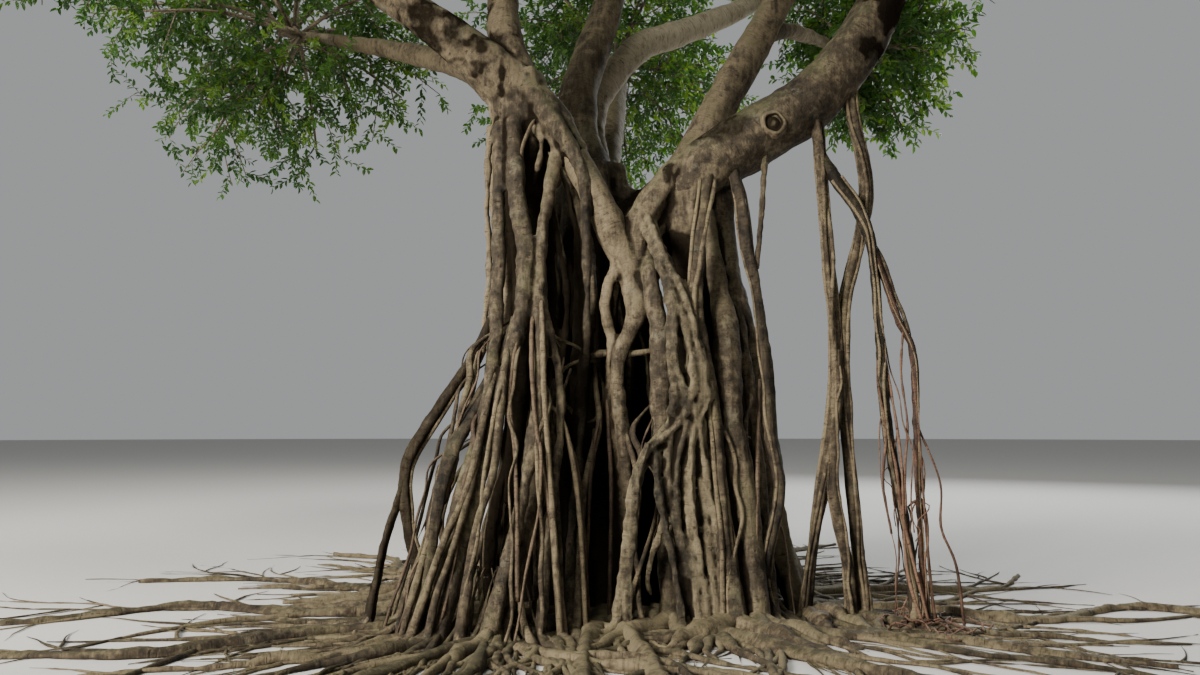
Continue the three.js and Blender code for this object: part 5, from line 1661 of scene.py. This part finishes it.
def grow_mass(name, key, wood):
    """One mass of foliage by the rule of the solids: a stem from the bough's tip to the heart, main twigs
    towards every side, then more of them between, side twigs, sprays and leaves. What would leave the
    space is dropped."""
    bough, middle, radii = MASSES[name]
    parent = BOUGHS[bough]
    middle = np.array(middle)
    heading = parent.heading([1.0])[0]
    foot = parent.at([1.0])[0] + 0.0008 * heading
    heart = middle + 0.15 * (foot - middle)
    bend = foot + 0.4 * np.linalg.norm(foot - heart) * heading
    start = float(parent.radius([1.0])[0])
    stem = Route([foot, bend, heart], [start, 0.75 * start, STEM_TIP])
    rng = np.random.default_rng(key)
    shell = Shell()
    tube(shell, stem, 0.5, **STEM_TUBE)
    twigs = []
    small = min(1.0, radii[0] / 2.6)
    fill = round(FILL_TWIGS * small**2)
    bearings = [(bearing_on_sphere(i, MAIN_TWIGS, key), MAIN_REACH) for i in range(MAIN_TWIGS)]
    bearings += [(bearing_on_sphere(i, fill, key + 5), FILL_REACH) for i in range(fill)]
    for i, (bearing, share) in enumerate(bearings):
        leaves = stem.at([0.45 + 0.5 * seeded(key + 20 + i)])[0]
        end = middle + share * np.array(radii) * bearing
        while share > LEAST_REACH and not inside_mass(name, end[None])[0]:
            share -= REACH_STEP
            end = middle + share * np.array(radii) * bearing
        knee = leaves + 0.55 * (end - leaves) + (0, 0, 0.07 * np.linalg.norm(end - leaves))
        twig = Route([leaves, knee, end], [TWIG_ROOT, 0.8 * TWIG_ROOT, TWIG_TIP])
        if not clear_of_wood(twig.at(np.linspace(0.2, 1, 10)), wood, TWIG_CLEARANCE).all():
            continue
        tube(shell, twig, 0.5, **TWIG_TUBE)
        twigs.append(twig)

    shares = np.linspace(0.3, 1.0, SIDE_TWIGS)
    base = np.concatenate([twig.at(shares) for twig in twigs])
    ahead = np.concatenate([twig.heading(shares) for twig in twigs])
    place = np.tile(shares, len(twigs))
    out = offshoots(base, ahead, 1, 0.62, rng)[:, 0]
    out = np.where((place > 0.99)[:, None], unit(ahead + rng.normal(0, 0.15, ahead.shape)), out)
    length = small * SIDE_TWIG_LENGTH * (1.15 - 0.45 * place) * rng.uniform(0.75, 1.2, len(base))
    tips = base + out * length[:, None] - [0, 0, 1] * (0.10 * length)[:, None]
    keep = inside_mass(name, tips) & clear_of_wood(tips, wood, SIDE_TWIG_CLEARANCE)
    base, out, tips, length = base[keep], unit(tips - base)[keep], tips[keep], length[keep]
    middles = (base + tips) / 2 + (0, 0, 0.04)
    lines = np.stack([base, middles, tips], axis=1)
    thick = np.tile(SIDE_TWIG_RADII, (len(base), 1))
    side_points, side_quads, side_far = rods(lines, thick, 4)
    shell.add(side_points, side_quads, side_far, 0.4)

    sprays = np.linspace(0.12, 1.0, SPRAYS)
    roots = base[:, None] + (middles - base)[:, None] * np.minimum(2 * sprays, 1)[None, :, None]
    roots = roots + (tips - middles)[:, None] * np.maximum(2 * sprays - 1, 0)[None, :, None]
    spray_out = offshoots(base, out, SPRAYS, 0.58, rng)
    spray_length = SPRAY_LENGTH * rng.uniform(0.75, 1.2, roots.shape[:2])
    roots, spray_out, spray_length = roots.reshape(-1, 3), spray_out.reshape(-1, 3), spray_length.ravel()
    spray_tips = roots + spray_out * spray_length[:, None] - [0, 0, 1] * (0.12 * spray_length)[:, None]
    keep = inside_mass(name, spray_tips) & clear_of_wood(spray_tips, wood, TWIG_CLEARANCE)
    roots, spray_tips, spray_length = roots[keep], spray_tips[keep], spray_length[keep]
    spray_out = unit(spray_tips - roots)
    lines = np.stack([roots, spray_tips], axis=1)
    spray_points, spray_quads, spray_far = rods(lines, np.tile(SPRAY_RADII, (len(roots), 1)), 3)
    shell.add(spray_points, spray_quads, spray_far, 0.3)

    leaf_place = np.linspace(0.08, 1.0, LEAVES)
    leaf_roots = roots[:, None] + (spray_tips - roots)[:, None] * leaf_place[None, :, None]
    leaf_out = offshoots(roots, spray_out, LEAVES, 0.6, rng)
    leaf_out = unit(leaf_out - [0, 0, 0.22])
    normal = rng.normal(0, 0.38, leaf_out.shape) + [0, 0, 1]
    normal = unit(normal - leaf_out * (normal * leaf_out).sum(axis=-1, keepdims=True))
    leaf_length = LEAF_LENGTH * rng.uniform(0.7, 1.15, leaf_out.shape[:2])
    green = rng.choice(len(GREENS), len(roots), p=GREEN_SHARES)
    points, quads = leaf_blades(
        leaf_roots.reshape(-1, 3), leaf_out.reshape(-1, 3), normal.reshape(-1, 3), leaf_length.ravel()
    )
    return shell, points, quads, np.repeat(green, 2 * LEAVES)


def dress_foliage():
    """Each mass as one piece of twigs and one of leaves."""
    shares = [np.linspace(0, 1, max(2, int(route.length / WOOD_SPACING))) for route in BOUGHS.values()]
    centres = np.concatenate([route.at(share) for route, share in zip(BOUGHS.values(), shares)])
    wood_radii = np.concatenate([route.radius(share) for route, share in zip(BOUGHS.values(), shares)])
    for index, name in enumerate(MASSES):
        shell, points, quads, green = grow_mass(name, 1000 + 300 * index, (centres, wood_radii))
        place = name.removeprefix("foliage_")
        bark_piece("twigs_" + place, shell, TWIG_BARK, [name], "bark")
        mesh = mesh_from("leaves_" + place, points, quads, smooth=False)
        mesh.polygons.foreach_set("material_index", green.astype(np.int32))
        piece(mesh, GREENS, [name])


# Floor, lights and camera.


FLOOR_REACH = 160.0
FLOOR_LEVEL = -0.004
FLOOR_SIDES = 96
FLOOR_COLOUR = (0.44, 0.43, 0.41, 1)

SKY_COLOUR = (0.90, 0.93, 0.94, 1)
SKY_STRENGTH = 0.38
# Each light's name, place, aim, size in metres, power in watts and colour.
LIGHTS = [
    ("front_light", (-13.0, -13.0, 9.0), (0, 0, 2.5), 6.0, 10500.0, (1.0, 0.96, 0.9)),
    ("top_light", (-6.0, -7.0, 22.0), (0, 0, 6), 9.0, 6500.0, (1.0, 0.97, 0.92)),
    ("rear_light", (11.0, 15.0, 12.0), (0, 0, 3), 8.0, 3800.0, (0.96, 0.98, 1.0)),
]


def dress_stage():
    """A wide pale disc under the tree."""
    angle = np.linspace(0, 2 * math.pi, FLOOR_SIDES, endpoint=False)
    across, over = FLOOR_REACH * np.cos(angle), FLOOR_REACH * np.sin(angle)
    rim = np.column_stack([across, over, np.full(FLOOR_SIDES, FLOOR_LEVEL)])
    ring = np.arange(FLOOR_SIDES)
    following = (ring + 1) % FLOOR_SIDES
    fan = np.stack([np.full(FLOOR_SIDES, FLOOR_SIDES), ring, following, following], axis=-1)
    mesh = mesh_from("floor", np.vstack([rim, (0, 0, FLOOR_LEVEL)]), fan)
    floor = placed("floor", mesh)
    material, _, surface = new_material("pale_floor")
    surface.inputs["Base Color"].default_value = FLOOR_COLOUR
    surface.inputs["Roughness"].default_value = 0.9
    mesh.materials.append(material)


def soft_light(name, place, aim, size, power, colour):
    """A square area light at a place, turned to its aim."""
    data = bpy.data.lights.new(name, "AREA")
    data.shape = "SQUARE"
    data.size = size
    data.energy = power
    data.color = colour
    made = placed(name, data)
    direction = np.subtract(aim, place)
    flat = math.hypot(direction[0], direction[1])
    made.location = place
    turn = math.atan2(direction[1], direction[0]) - math.pi / 2
    made.rotation_euler = (math.atan2(flat, -direction[2]), 0, turn)


def dress_light_and_camera():
    """A pale sky, three large lights, and a camera at eye level that looks a little up."""
    world = bpy.data.worlds.new("sky")
    bpy.context.scene.world = world
    world.use_nodes = True
    background = world.node_tree.nodes["Background"]
    background.inputs["Color"].default_value = SKY_COLOUR
    background.inputs["Strength"].default_value = SKY_STRENGTH
    for light in LIGHTS:
        soft_light(*light)
    data = bpy.data.cameras.new("eye")
    data.lens = LENS_MM
    data.sensor_width = SENSOR_MM
    camera = placed("eye", data)
    camera.location = EYE
    camera.rotation_euler = (math.pi / 2 + LOOK_UP, 0, 0)
    bpy.context.scene.camera = camera


dress_light_and_camera()
dress_stage()
dress_boughs()
dress_scar()
COLUMN_ROOTS = dress_columns()
dress_aerial_roots()
dress_thin_roots()
dress_surface_roots()
dress_feet(*COLUMN_ROOTS)
dress_foliage()
